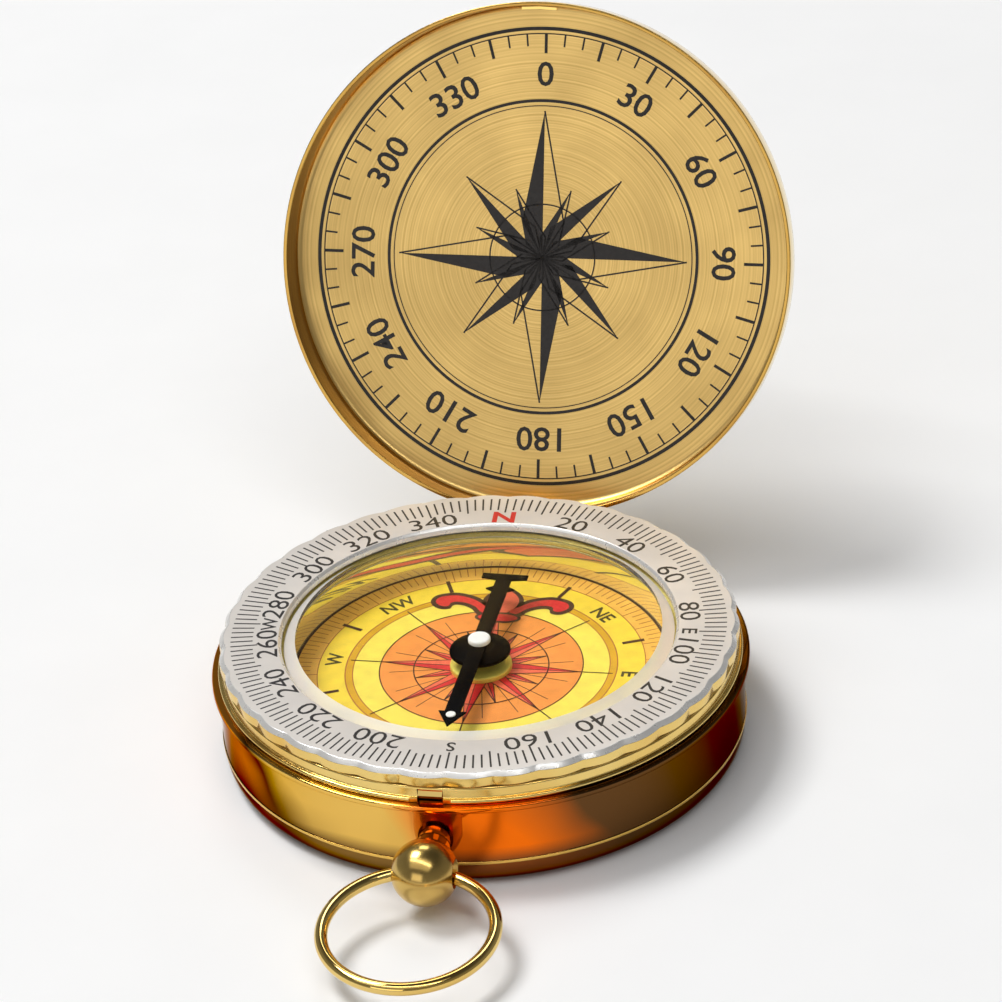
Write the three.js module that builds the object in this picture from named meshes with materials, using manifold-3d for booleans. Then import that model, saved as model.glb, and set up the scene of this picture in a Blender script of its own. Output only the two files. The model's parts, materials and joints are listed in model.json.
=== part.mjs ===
// Magnetic pocket compass: a brass case with a hinged lid, a turning bezel, a push button and a bow ring.
// Millimetres, +Z up. The origin is the centre of the flat base, and +Y points at the lid's hinge.
// Radial sizes build outwards from the dial, heights build upwards from the base.
import * as THREE from 'three';
import { mergeVertices } from 'three/addons/utils/BufferGeometryUtils.js';
import Module from 'manifold-3d';

const wasm = await Module();
wasm.setup();

// Clearances
const SEAT_GAP = 0.05; // between pieces that are fixed to each other
const RUN_GAP = 0.2; // round the bezel, the button and the bow
const PIN_GAP = 0.1; // round a pin in its bore

// Facets
const ROUND_SEGMENTS = 60;
const SMALL_SEGMENTS = 20;
const BALL_SEGMENTS = 26; // round the ball's cross hole
const BALL_STEPS = 14; // along the ball's profile
const HOLE_STEPS = 6; // along its cross hole
const MOUTH_ROUNDS = 20; // rounds to find where the hole meets the ball
const BOW_SEGMENTS = 48;
const WIRE_SEGMENTS = 10;
const SPRING_SEGMENTS = 16;
const DOME_STEPS = 3; // along half of the crystal
const EDGE_STEPS = 4; // round an outer edge
const INNER_EDGE_STEPS = 2;
const FACETS_PER_SCALLOP = 3;
const MERGE_DISTANCE = 1e-4; // vertices closer than this are one

// Case
const CASE_BASE = 1.2;
const CASE_WALL = 1.85;
const CASE_EDGE = 2.0; // radius of the rounded lower edge
const FLANGE_PROUD = 0.55;
const FLANGE_THICKNESS = 0.6;
const BEAD_HEIGHT = 0.45;
const BAND_STEP = 0.4; // bead to band
const BAND_HEIGHT = 1.0; // above the bead
const SEAT_WALL = 1.95; // wall of the ring that carries the bezel

// Dial and what stands under it
const DIAL_RADIUS = 17.6; // visible part of the card
const DIAL_CARD = 0.25;
const DIAL_PLATE = 0.6;
const SPACER_HEIGHT = 5.2;
const SPACER_WALL = 4.0;
const SPACER_OVERHANG = 0.8; // spacer radius beyond the visible dial

// Reflector ring, gasket and crystal
const REFLECTOR_WALL = 1.7;
const REFLECTOR_TAPER = 0.25; // how much the bore opens towards the top
const REFLECTOR_FOOT = 0.7; // height of the foot that centres it in the bezel seat
const GASKET_HEIGHT = 0.2;
const GASKET_INSET = 0.15;
const CRYSTAL_THICKNESS = 0.65;
const CRYSTAL_DOME = 1.0;

// Bezel
const BEZEL_LIP = 0.73; // bezel bore beyond the visible dial
const BEZEL_LIP_BEVEL = 0.25;
const BEZEL_PLATE = 0.7;
const BEZEL_RIM = 1.3; // height of the grip
const BEZEL_OVERHANG = 0.15; // grip crests beyond the band
const BEZEL_CHAMFER = 0.4;
const SCALLOP_COUNT = 36;
const SCALLOP_DEPTH = 0.5;
const COLLAR_WALL = 0.9;
const COLLAR_DROP = 1.7;
const WIRE_SIZE = 0.5; // snap wire section
const WIRE_OPENING = 6; // gap between the wire's ends
const BEZEL_TURN = 3.4; // degrees, as it was left

// Needle
const PIVOT_RISE = 3.0; // pivot tip above the dial
const PIVOT_RADIUS = 0.2;
const PIVOT_POINT = 0.8; // length of the ground point
const BOSS_RADIUS = 2.9;
const BOSS_HEIGHT = 0.5;
const BOSS_EDGE = 0.17; // chamfer, and the floor under the pivot pin
const BOSS_NECK_RADIUS = 0.9;
const BOSS_NECK_HEIGHT = 0.65;
const BLADE_DROP = 0.4; // blade's underside below the pivot tip
const BLADE_THICKNESS = 0.2;
const BLADE_WIDTH = 1.5;
const NORTH_REACH = 11.9;
const NORTH_BAR_WIDTH = 4.4;
const NORTH_BAR_LENGTH = 1.0;
const NORTH_BAR_RAKE = 0.25; // how much the bar sweeps back from its ends
const NORTH_BARB_WIDTH = 2.8;
const NORTH_BARB_LENGTH = 0.8;
const NORTH_BARB_BACK = 2.2; // barb's outer edge behind the tip
const SOUTH_REACH = 14.0;
const SOUTH_HEAD_LENGTH = 2.4;
const SOUTH_HEAD_WIDTH = 2.6;
const HUB_RADIUS = 2.85;
const HUB_RIM = 0.35;
const HUB_HEIGHT = 0.85;
const HUB_TOP_RADIUS = 1.5;
const CAP_RADIUS = 1.05;
const CAP_RISE = 0.7; // cap's top above the pivot tip
const CAP_CHAMFER = 0.28;
const CAP_STEM_RADIUS = 0.5;
const CAP_STEM_BELOW = 0.6; // cap's stem below the blade
const CAP_CUP_RADIUS = 0.32;
const LUME_RADIUS = 0.45;
const LUME_THICKNESS = 0.12;
const LUME_FROM_TIP = 1.7;
const NEEDLE_HEADROOM = 0.25;
const NEEDLE_TURN = -1.55; // degrees

// Lid and hinge
const LID_WALL = 0.4;
const LID_CROWN = 0.6; // thickness of the crown at its edge
const LID_DOME = 0.5; // extra thickness at the middle of the crown
const LID_EDGE = 2.0; // radius of the rounded outer edge
const LID_INNER_EDGE = 0.6;
const LID_HEADROOM = 1.2; // above the crystal
const LID_OPEN = 113.5; // degrees from closed to the open stop
const LID_BEAD_GAP = 0.2; // lid wall to the bead
const HINGE_OUT = 0.2; // pin axis beyond the flange
const HINGE_DROP = 0.6; // pin axis below the flange's top
const KNUCKLE_RADIUS = 1.0;
const KNUCKLE_CLEARANCE = 0.3;
const HINGE_PIN_RADIUS = 0.45;
const LID_KNUCKLE_WIDTH = 4.2;
const CASE_KNUCKLE_WIDTH = 2.7;
const LEAF_THICKNESS = 0.45;
const WEB_THICKNESS = 0.32; // web between a leaf and its knuckle
const WEB_LAP = 0.9; // how far the case's web reaches down its leaf
const CASE_LEAF_HEIGHT = 3.2;
const LID_LEAF_HEIGHT = 2.0;
const LID_LEAF_WIDTH = 6.4;
const LIP_PROUD = 0.25; // catch lip inside the lid wall
const LIP_HEIGHT = 0.4;
const LIP_WIDTH = 3.4;

// Button, catch and bow
const BALL_RADIUS = 3.05;
const BALL_LIFT = 1.25; // under the ball
const BUTTON_TRAVEL = 0.7;
const SLEEVE_RADIUS = 1.6;
const SLEEVE_PROUD = 1.15; // outside the case wall
const SLEEVE_INSIDE = 0.4; // inside the case wall
const STEM_RADIUS = 0.7;
const STEM_SOCKET = 0.6;
const CLIP_RADIUS = 1.35;
const CLIP_THICKNESS = 0.4;
const HOOK_WIDTH = 2.2;
const HOOK_THICKNESS = 0.5;
const HOOK_SKIN = 0.6; // case wall left outside the hook
const HOOK_TAIL = 1.0; // below the stem's axis
const SPRING_THICKNESS = 0.25;
const SPRING_WIDTH = 2.0;
const SPRING_SWEEP = 75; // degrees
const SPRING_FOOT = 2.4;
const SPRING_WELD = 0.06; // how far the foot sinks into the strip
const SCREW_RADIUS = 0.5;
const SCREW_HEAD_RADIUS = 0.9;
const SCREW_HEAD = 0.4;
const SCREW_DEPTH = 1.6;
const BOW_RADIUS = 7.65; // to the middle of the wire
const BOW_WIRE = 0.6; // wire radius
const BOW_TILT = 5; // degrees below level, as its stiff fit in the ball holds it

// Radii worked out from the dial outwards
const reflectorRadius = DIAL_RADIUS + REFLECTOR_WALL;
const collarBore = reflectorRadius + RUN_GAP;
const collarRadius = collarBore + COLLAR_WALL;
const seatBore = collarRadius + RUN_GAP;
const seatRadius = seatBore + SEAT_WALL;
const caseBore = seatRadius + SEAT_GAP;
const caseRadius = caseBore + CASE_WALL;
const flangeRadius = caseRadius + FLANGE_PROUD;
const lidBore = flangeRadius - LID_WALL;
const beadRadius = lidBore - LID_BEAD_GAP;
const bandRadius = beadRadius - BAND_STEP;
const bezelRadius = bandRadius + BEZEL_OVERHANG;
const bezelBore = DIAL_RADIUS + BEZEL_LIP;
const spacerRadius = DIAL_RADIUS + SPACER_OVERHANG;
const wireMiddle = (collarRadius + seatBore) / 2;

// Heights worked out from the base upwards
const spacerFoot = CASE_BASE + SEAT_GAP;
const plateFoot = spacerFoot + SPACER_HEIGHT + SEAT_GAP;
const plateTop = plateFoot + DIAL_PLATE;
const cardFoot = plateTop + SEAT_GAP;
const dialTop = cardFoot + DIAL_CARD;
const pivotTip = dialTop + PIVOT_RISE;
const bladeFoot = pivotTip - BLADE_DROP;
const bladeTop = bladeFoot + BLADE_THICKNESS;
const capTop = pivotTip + CAP_RISE;
const crystalFoot = capTop + NEEDLE_HEADROOM - CRYSTAL_DOME;
const crystalRimTop = crystalFoot + CRYSTAL_THICKNESS;
const gasketFoot = crystalFoot - SEAT_GAP - GASKET_HEIGHT;
const reflectorTop = gasketFoot - SEAT_GAP;
const bezelUnder = crystalRimTop + RUN_GAP;
const bezelTop = bezelUnder + BEZEL_PLATE;
const gripUnder = bezelTop - BEZEL_RIM;
const seatTop = gripUnder - RUN_GAP;
const wireTop = seatTop - WIRE_SIZE;
const wireFoot = wireTop - WIRE_SIZE;
const beadTop = seatTop - BAND_HEIGHT;
const beadFoot = beadTop - BEAD_HEIGHT;
const flangeTop = beadFoot - SEAT_GAP;
const lidRim = flangeTop + SEAT_GAP;
const lidFace = crystalRimTop + CRYSTAL_DOME + LID_HEADROOM;
const hingeY = flangeRadius + HINGE_OUT;
const hingeZ = flangeTop - HINGE_DROP;
const caseKnuckleStart = LID_KNUCKLE_WIDTH / 2 + PIN_GAP;
const hingeHalf = caseKnuckleStart + CASE_KNUCKLE_WIDTH;

// Distances from the axis towards the button, and heights of its catch
const stemZ = BALL_RADIUS + BALL_LIFT;
const ballOut = caseRadius + BUTTON_TRAVEL + SEAT_GAP + BALL_RADIUS;
const sleeveEnd = caseRadius + SLEEVE_PROUD;
const sleeveStart = caseBore - SLEEVE_INSIDE;
const counterbore = sleeveEnd + BUTTON_TRAVEL + RUN_GAP;
const socketEnd = counterbore + STEM_SOCKET;
const clipOut = sleeveStart - PIN_GAP;
const hookTailOut = clipOut - CLIP_THICKNESS - SEAT_GAP;
const hookSlot = caseRadius - HOOK_SKIN;
const hookOut = hookSlot - RUN_GAP;
const hookIn = hookOut - HOOK_THICKNESS;
const hookHalf = HOOK_WIDTH / 2 + RUN_GAP;
const shelfFoot = stemZ + SLEEVE_RADIUS + 2 * RUN_GAP;
const lipFoot = lidRim + PIN_GAP;
const lipRadius = lidBore - SEAT_GAP - LIP_PROUD;
const noseFoot = lipFoot + LIP_HEIGHT + RUN_GAP;
const noseOut = lipRadius - PIN_GAP;
const springOut = hookTailOut - HOOK_THICKNESS - BUTTON_TRAVEL - PIN_GAP;

// Finishes
function finish(color, roughness, metalness) {
  return new THREE.MeshStandardMaterial({ color, roughness, metalness });
}

const POLISHED_BRASS = finish(0xd9a441, 0.15, 1);
const BRUSHED_BRASS = finish(0xcaa461, 0.4, 1);
const SATIN_SILVER = finish(0xc8c6c2, 0.35, 0.8);
const STEEL = finish(0xb4b8bc, 0.3, 1);
const BLACK_PAINT = finish(0x14120f, 0.35, 0);
const WHITE_LUME = finish(0xf2f1ea, 0.5, 0);
const DIAL_PRINT = finish(0xf2cf3f, 0.6, 0);
const RUBBER = finish(0x1b1b1b, 0.8, 0);
const WHITE_PLASTIC = finish(0xe6e4dc, 0.5, 0);
const GLASS = finish(0xf4f8f8, 0.05, 0);

const compass = new THREE.Group();
const degrees = THREE.MathUtils.degToRad;

// Adds one named piece to a group.
function piece(name, geometry, material, group = compass) {
  const mesh = new THREE.Mesh(geometry, material);
  mesh.name = name;
  group.add(mesh);
}

// Makes a boolean solid of a closed geometry.
function toSolid(geometry) {
  const bare = geometry.clone();
  bare.deleteAttribute('normal');
  bare.deleteAttribute('uv');
  const merged = mergeVertices(bare, MERGE_DISTANCE);
  const corners = merged.index.array;
  const kept = [];
  for (let i = 0; i < corners.length; i += 3) {
    const [a, b, c] = [corners[i], corners[i + 1], corners[i + 2]];
    if (a !== b && b !== c && c !== a) {
      kept.push(a, b, c);
    }
  }
  const vertProperties = new Float32Array(merged.attributes.position.array);
  const triVerts = new Uint32Array(kept);
  return new wasm.Manifold(new wasm.Mesh({ numProp: 3, vertProperties, triVerts }));
}

// Turns a boolean solid back into a geometry.
function toGeometry(solid) {
  const mesh = solid.getMesh();
  const geometry = new THREE.BufferGeometry();
  geometry.setAttribute('position', new THREE.BufferAttribute(mesh.vertProperties, 3));
  geometry.setIndex(new THREE.BufferAttribute(mesh.triVerts, 1));
  return geometry;
}

// Joins some geometries and then cuts others away.
function carve(joined, cuts = []) {
  let solid = toSolid(joined[0]);
  for (const extra of joined.slice(1)) {
    solid = solid.add(toSolid(extra));
  }
  for (const cut of cuts) {
    solid = solid.subtract(toSolid(cut));
  }
  return toGeometry(solid);
}

// Keeps what two geometries share.
function shared(a, b) {
  return toGeometry(toSolid(a).intersect(toSolid(b)));
}

// Turns a profile of [radius, height] points about +Z. It runs up the outside and back down the inside.
function turned(profile, segments = ROUND_SEGMENTS) {
  const points = profile.map(([radius, height]) => new THREE.Vector2(radius, height));
  return new THREE.LatheGeometry(points, segments).rotateX(Math.PI / 2);
}

// Turns a profile that doesn't reach the axis.
function turnedRing(profile, segments = ROUND_SEGMENTS) {
  return turned([...profile, profile[0]], segments);
}

// Plain ring between two radii and two heights.
function ringBand(inner, outer, low, high) {
  return turnedRing([[inner, low], [outer, low], [outer, high], [inner, high]]);
}

// Plain disc between two heights.
function disc(radius, low, high, segments = ROUND_SEGMENTS) {
  return turned([[0, low], [radius, low], [radius, high], [0, high]], segments);
}

// Points of a quarter round from one angle to another, in degrees.
function arcPoints(centreR, centreZ, radius, from, to, steps) {
  const points = [];
  for (let i = 0; i <= steps; i += 1) {
    const angle = degrees(from + ((to - from) * i) / steps);
    points.push([centreR + radius * Math.cos(angle), centreZ + radius * Math.sin(angle)]);
  }
  return points;
}

// Box between two corners.
function boxBetween(low, high) {
  const size = high.map((value, i) => value - low[i]);
  const middle = high.map((value, i) => (value + low[i]) / 2);
  return new THREE.BoxGeometry(...size).translate(...middle);
}

// Cylinder along X between two places, about the hinge axis.
function hingeBarrel(radius, from, to) {
  const barrel = new THREE.CylinderGeometry(radius, radius, to - from, SMALL_SEGMENTS);
  return barrel.rotateZ(Math.PI / 2).translate((from + to) / 2, hingeY, hingeZ);
}

// Turned profile of [radius, distance from the axis] laid along the stem, towards -Y.
function alongStem(profile, segments = SMALL_SEGMENTS) {
  return turned(profile, segments).rotateX(Math.PI / 2).translate(0, 0, stemZ);
}

// Cylinder along the stem between two distances from the axis.
function stemCylinder(radius, from, to) {
  return alongStem([[0, from], [radius, from], [radius, to], [0, to]]);
}

// Room for the two knuckles of the case and the one of the lid.
function hingeRoom() {
  const half = hingeHalf + KNUCKLE_CLEARANCE;
  return hingeBarrel(KNUCKLE_RADIUS + KNUCKLE_CLEARANCE, -half, half);
}

function caseBody() {
  const cup = turned([
    [0, 0],
    ...arcPoints(caseRadius - CASE_EDGE, CASE_EDGE, CASE_EDGE, -90, 0, EDGE_STEPS),
    [caseRadius, flangeTop - FLANGE_THICKNESS],
    [flangeRadius, flangeTop - FLANGE_THICKNESS],
    [flangeRadius, flangeTop],
    [caseBore, flangeTop],
    [caseBore, CASE_BASE],
    [0, CASE_BASE],
  ]);
  const sleeveHole = stemCylinder(SLEEVE_RADIUS + SEAT_GAP, sleeveStart - RUN_GAP, sleeveEnd);
  const catchSlot = boxBetween(
    [-hookHalf, -hookSlot, shelfFoot - RUN_GAP],
    [hookHalf, -sleeveStart, flangeTop + RUN_GAP],
  );
  return carve([cup], [sleeveHole, catchSlot, hingeRoom()]);
}

function bezelSeat() {
  const grooveRadius = wireMiddle + WIRE_SIZE / 2 + RUN_GAP;
  const ring = turnedRing([
    [seatBore, cardFoot],
    [seatRadius, cardFoot],
    [seatRadius, beadFoot],
    [beadRadius, beadFoot],
    [beadRadius, beadTop],
    [bandRadius, beadTop],
    [bandRadius, seatTop],
    [seatBore, seatTop],
    [seatBore, wireTop + RUN_GAP],
    [grooveRadius, wireTop + RUN_GAP],
    [grooveRadius, wireFoot - RUN_GAP],
    [seatBore, wireFoot - RUN_GAP],
  ]);
  const pressedIn = hookIn - BUTTON_TRAVEL - RUN_GAP;
  const slot = boxBetween([-hookHalf, -hookSlot, plateFoot], [hookHalf, -pressedIn, bezelTop]);
  const window = boxBetween([-hookHalf, -flangeRadius, beadTop], [hookHalf, -hookIn, bezelTop]);
  const lipHalf = LIP_WIDTH / 2 + RUN_GAP;
  const lipNotch = boxBetween(
    [-lipHalf, -flangeRadius, beadFoot - RUN_GAP],
    [lipHalf, RUN_GAP - lipRadius, beadTop + RUN_GAP],
  );
  return carve([ring], [slot, window, lipNotch, hingeRoom()]);
}

function dialPlate() {
  const plate = disc(seatBore + SEAT_WALL / 2, plateFoot, plateTop);
  const tailRoom = boxBetween(
    [-hookHalf, -caseRadius, plateFoot - RUN_GAP],
    [hookHalf, -springOut, plateTop + RUN_GAP],
  );
  return carve([plate], [tailRoom]);
}

function reflectorRing() {
  const footRadius = seatBore - SEAT_GAP;
  const foot = dialTop + SEAT_GAP;
  return turnedRing([
    [DIAL_RADIUS, foot],
    [footRadius, foot],
    [footRadius, foot + REFLECTOR_FOOT],
    [reflectorRadius, foot + REFLECTOR_FOOT],
    [reflectorRadius, reflectorTop],
    [DIAL_RADIUS + REFLECTOR_TAPER, reflectorTop],
  ]);
}

function crystal() {
  const rim = reflectorRadius - SEAT_GAP;
  const clear = bezelBore - RUN_GAP;
  const under = [];
  const over = [];
  for (let i = 0; i <= DOME_STEPS; i += 1) {
    const share = i / DOME_STEPS;
    const rise = CRYSTAL_DOME * (1 - share * share);
    under.push([clear * share, crystalFoot + rise]);
    over.unshift([clear * share, crystalRimTop + rise]);
  }
  return turned([...under, [rim, crystalFoot], [rim, crystalRimTop], ...over]);
}

// Scalloped grip: the outer edge dips between rounded lobes.
function bezelRing() {
  const grooveRadius = wireMiddle - WIRE_SIZE / 2 - SEAT_GAP;
  const collarFoot = gripUnder - COLLAR_DROP;
  const ring = turnedRing([
    [collarBore, collarFoot],
    [collarRadius, collarFoot],
    [collarRadius, wireFoot - SEAT_GAP],
    [grooveRadius, wireFoot - SEAT_GAP],
    [grooveRadius, wireTop + SEAT_GAP],
    [collarRadius, wireTop + SEAT_GAP],
    [collarRadius, gripUnder],
    [bezelRadius, gripUnder],
    [bezelRadius, bezelTop - BEZEL_CHAMFER],
    [bezelRadius - BEZEL_CHAMFER, bezelTop],
    [bezelBore + BEZEL_LIP_BEVEL, bezelTop],
    [bezelBore, bezelTop - BEZEL_LIP_BEVEL],
    [bezelBore, bezelUnder],
    [collarBore, bezelUnder],
  ], SCALLOP_COUNT * FACETS_PER_SCALLOP);
  const places = ring.attributes.position;
  const gripStart = bezelRadius - BEZEL_CHAMFER - SEAT_GAP;
  const crest = Math.sin((Math.PI * Math.floor(FACETS_PER_SCALLOP / 2)) / FACETS_PER_SCALLOP);
  for (let i = 0; i < places.count; i += 1) {
    const radius = Math.hypot(places.getX(i), places.getY(i));
    if (radius >= gripStart) {
      const turn = Math.atan2(places.getX(i), places.getY(i)) / (2 * Math.PI);
      const lobe = Math.abs(Math.sin(turn * SCALLOP_COUNT * Math.PI)) / crest;
      const scale = 1 - (SCALLOP_DEPTH * (1 - Math.min(1, lobe))) / radius;
      places.setXY(i, places.getX(i) * scale, places.getY(i) * scale);
    }
  }
  return ring;
}

function snapWire() {
  const wire = ringBand(wireMiddle - WIRE_SIZE / 2, wireMiddle + WIRE_SIZE / 2, wireFoot, wireTop);
  const opening = boxBetween(
    [-WIRE_OPENING / 2, 0, wireFoot - WIRE_SIZE],
    [WIRE_OPENING / 2, seatRadius, wireTop + WIRE_SIZE],
  );
  return carve([wire], [opening]);
}

function pivotBase() {
  const foot = dialTop + SEAT_GAP;
  const top = foot + BOSS_HEIGHT + BOSS_NECK_HEIGHT;
  const bore = PIVOT_RADIUS + SEAT_GAP;
  return turned([
    [0, foot],
    [BOSS_RADIUS, foot],
    [BOSS_RADIUS, foot + BOSS_HEIGHT - BOSS_EDGE],
    [BOSS_RADIUS - BOSS_EDGE, foot + BOSS_HEIGHT],
    [BOSS_NECK_RADIUS + BOSS_EDGE, foot + BOSS_HEIGHT + BOSS_EDGE],
    [BOSS_NECK_RADIUS, top],
    [bore, top],
    [bore, foot + BOSS_EDGE],
    [0, foot + BOSS_EDGE],
  ], SMALL_SEGMENTS);
}

function pivotPin() {
  const foot = dialTop + BOSS_EDGE + 2 * SEAT_GAP;
  return turned([
    [0, foot],
    [PIVOT_RADIUS, foot],
    [PIVOT_RADIUS, pivotTip - PIVOT_POINT],
    [0, pivotTip],
  ], SMALL_SEGMENTS);
}

// North end with a cross bar and a pair of barbs, south end with an arrow head.
function needleBlade() {
  const half = BLADE_WIDTH / 2;
  const barFoot = NORTH_REACH - NORTH_BAR_LENGTH;
  const barbTop = NORTH_REACH - NORTH_BARB_BACK;
  const headBack = SOUTH_HEAD_LENGTH - SOUTH_REACH;
  const right = [
    [half, headBack],
    [half, barbTop - NORTH_BARB_LENGTH],
    [NORTH_BARB_WIDTH / 2, barbTop - NORTH_BARB_LENGTH / 2],
    [half, barbTop],
    [half, barFoot],
    [NORTH_BAR_WIDTH / 2, barFoot + NORTH_BAR_RAKE],
    [NORTH_BAR_WIDTH / 2, NORTH_REACH],
  ];
  const left = right.map(([x, y]) => [-x, y]).reverse();
  const head = [[-SOUTH_HEAD_WIDTH / 2, headBack], [0, -SOUTH_REACH], [SOUTH_HEAD_WIDTH / 2, headBack]];
  const outline = new THREE.Shape([...right, ...left, ...head].map(([x, y]) => new THREE.Vector2(x, y)));
  outline.holes.push(new THREE.Path().absarc(0, 0, CAP_STEM_RADIUS + SEAT_GAP, 0, 2 * Math.PI));
  const options = { depth: BLADE_THICKNESS, bevelEnabled: false, curveSegments: SMALL_SEGMENTS };
  return new THREE.ExtrudeGeometry(outline, options).translate(0, 0, bladeFoot);
}

function needleHub() {
  const top = bladeFoot - SEAT_GAP;
  const foot = top - HUB_HEIGHT;
  const bore = CAP_STEM_RADIUS + SEAT_GAP;
  return turnedRing([
    [bore, foot],
    [HUB_RADIUS, foot],
    [HUB_RADIUS, foot + HUB_RIM],
    [HUB_TOP_RADIUS, top],
    [bore, top],
  ], 2 * SMALL_SEGMENTS);
}

function needleCap() {
  const seat = bladeTop + SEAT_GAP;
  const foot = bladeFoot - CAP_STEM_BELOW;
  const cupTop = pivotTip + PIN_GAP;
  return turned([
    [0, cupTop],
    [CAP_CUP_RADIUS, cupTop - PIN_GAP / 2],
    [CAP_CUP_RADIUS, foot],
    [CAP_STEM_RADIUS, foot],
    [CAP_STEM_RADIUS, seat],
    [CAP_RADIUS, seat],
    [CAP_RADIUS, capTop - CAP_CHAMFER],
    [CAP_RADIUS - CAP_CHAMFER, capTop],
    [0, capTop],
  ], SMALL_SEGMENTS);
}

function lumeDot() {
  const foot = bladeTop + SEAT_GAP;
  const dot = disc(LUME_RADIUS, foot, foot + LUME_THICKNESS, SMALL_SEGMENTS);
  return dot.translate(0, LUME_FROM_TIP - SOUTH_REACH, 0);
}

function lidShell() {
  const crownEdge = lidFace + LID_CROWN;
  const innerZ = lidFace - LID_INNER_EDGE;
  const halfway = 0.5;
  const shell = turned([
    [0, lidFace],
    ...arcPoints(lidBore - LID_INNER_EDGE, innerZ, LID_INNER_EDGE, 90, 0, INNER_EDGE_STEPS),
    [lidBore, lidRim],
    [flangeRadius, lidRim],
    ...arcPoints(flangeRadius - LID_EDGE, crownEdge - LID_EDGE, LID_EDGE, 0, 90, EDGE_STEPS),
    [halfway * (flangeRadius - LID_EDGE), crownEdge + LID_DOME * (1 - halfway ** 2)],
    [0, crownEdge + LID_DOME],
  ]);
  return carve([shell], [hingeRoom()]);
}

// Part of a ring that lies on the hinge side or the button side, |x| up to half a width.
function ringPart(ring, width, side) {
  const reach = 2 * flangeRadius;
  const near = Math.min(0, side * reach);
  const far = Math.max(0, side * reach);
  return shared(ring, boxBetween([-width / 2, near, 0], [width / 2, far, reach]));
}

function caseHingeLeaf() {
  const inner = caseRadius + SEAT_GAP;
  const top = hingeZ - KNUCKLE_RADIUS / 2;
  const outer = inner + LEAF_THICKNESS;
  const leaf = ringBand(inner, outer, top - CASE_LEAF_HEIGHT, top);
  const joined = [ringPart(leaf, 2 * hingeHalf, 1)];
  for (const side of [-1, 1]) {
    const ends = [side * caseKnuckleStart, side * hingeHalf].sort((a, b) => a - b);
    joined.push(hingeBarrel(KNUCKLE_RADIUS, ...ends));
    const webLow = [ends[0], outer - WEB_THICKNESS, top - WEB_LAP];
    joined.push(boxBetween(webLow, [ends[1], outer, hingeZ]));
  }
  const bore = hingeBarrel(HINGE_PIN_RADIUS + SEAT_GAP, -2 * hingeHalf, 2 * hingeHalf);
  const lidKnuckleRoom = hingeBarrel(
    KNUCKLE_RADIUS + KNUCKLE_CLEARANCE,
    -caseKnuckleStart,
    caseKnuckleStart,
  );
  return carve(joined, [bore, lidKnuckleRoom]);
}

function lidHingeLeaf() {
  const inner = flangeRadius + SEAT_GAP;
  const foot = hingeZ + KNUCKLE_RADIUS + KNUCKLE_CLEARANCE;
  const half = LID_KNUCKLE_WIDTH / 2;
  const band = ringBand(inner, inner + LEAF_THICKNESS, foot, foot + LID_LEAF_HEIGHT);
  const leaf = ringPart(band, LID_LEAF_WIDTH, 1);
  const barrel = hingeBarrel(KNUCKLE_RADIUS, -half, half);
  const web = boxBetween([-half, inner, hingeZ], [half, inner + WEB_THICKNESS, foot + LEAF_THICKNESS]);
  const bore = hingeBarrel(HINGE_PIN_RADIUS + PIN_GAP, -2 * half, 2 * half);
  return carve([leaf, barrel, web], [bore]);
}

function lidCatchLip() {
  const ring = ringBand(lipRadius, lipRadius + LIP_PROUD, lipFoot, lipFoot + LIP_HEIGHT);
  return ringPart(ring, LIP_WIDTH, -1);
}

function buttonSleeve() {
  const bore = STEM_RADIUS + PIN_GAP;
  return alongStem([
    [bore, sleeveStart],
    [SLEEVE_RADIUS, sleeveStart],
    [SLEEVE_RADIUS, sleeveEnd],
    [bore, sleeveEnd],
    [bore, sleeveStart],
  ]);
}

// Radius of the ball's cross hole at a distance from its middle. It flares so that the curved wire swings.
function bowHoleRadius(along) {
  return BOW_WIRE + RUN_GAP + BOW_RADIUS - Math.sqrt(BOW_RADIUS ** 2 - along ** 2);
}

// Ball turned about its cross hole, with room for the sleeve and a socket for the stem.
function buttonBall() {
  let mouth = BALL_RADIUS;
  for (let i = 0; i < MOUTH_ROUNDS; i += 1) {
    mouth = Math.sqrt(BALL_RADIUS ** 2 - bowHoleRadius(mouth) ** 2);
  }
  const mouthAngle = THREE.MathUtils.radToDeg(Math.asin(mouth / BALL_RADIUS));
  const profile = arcPoints(0, 0, BALL_RADIUS, -mouthAngle, mouthAngle, BALL_STEPS);
  for (let i = 1; i < HOLE_STEPS; i += 1) {
    const along = mouth * (1 - (2 * i) / HOLE_STEPS);
    profile.push([bowHoleRadius(along), along]);
  }
  const ball = turnedRing(profile, BALL_SEGMENTS).rotateY(Math.PI / 2).translate(0, -ballOut, stemZ);
  const sleeveRoom = stemCylinder(SLEEVE_RADIUS + RUN_GAP, caseBore, counterbore);
  const socket = stemCylinder(STEM_RADIUS + SEAT_GAP, caseBore, socketEnd);
  return carve([ball], [sleeveRoom, socket]);
}

function stemClip() {
  const bore = STEM_RADIUS + SEAT_GAP;
  return alongStem([
    [bore, clipOut - CLIP_THICKNESS],
    [CLIP_RADIUS, clipOut - CLIP_THICKNESS],
    [CLIP_RADIUS, clipOut],
    [bore, clipOut],
    [bore, clipOut - CLIP_THICKNESS],
  ]);
}

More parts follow.
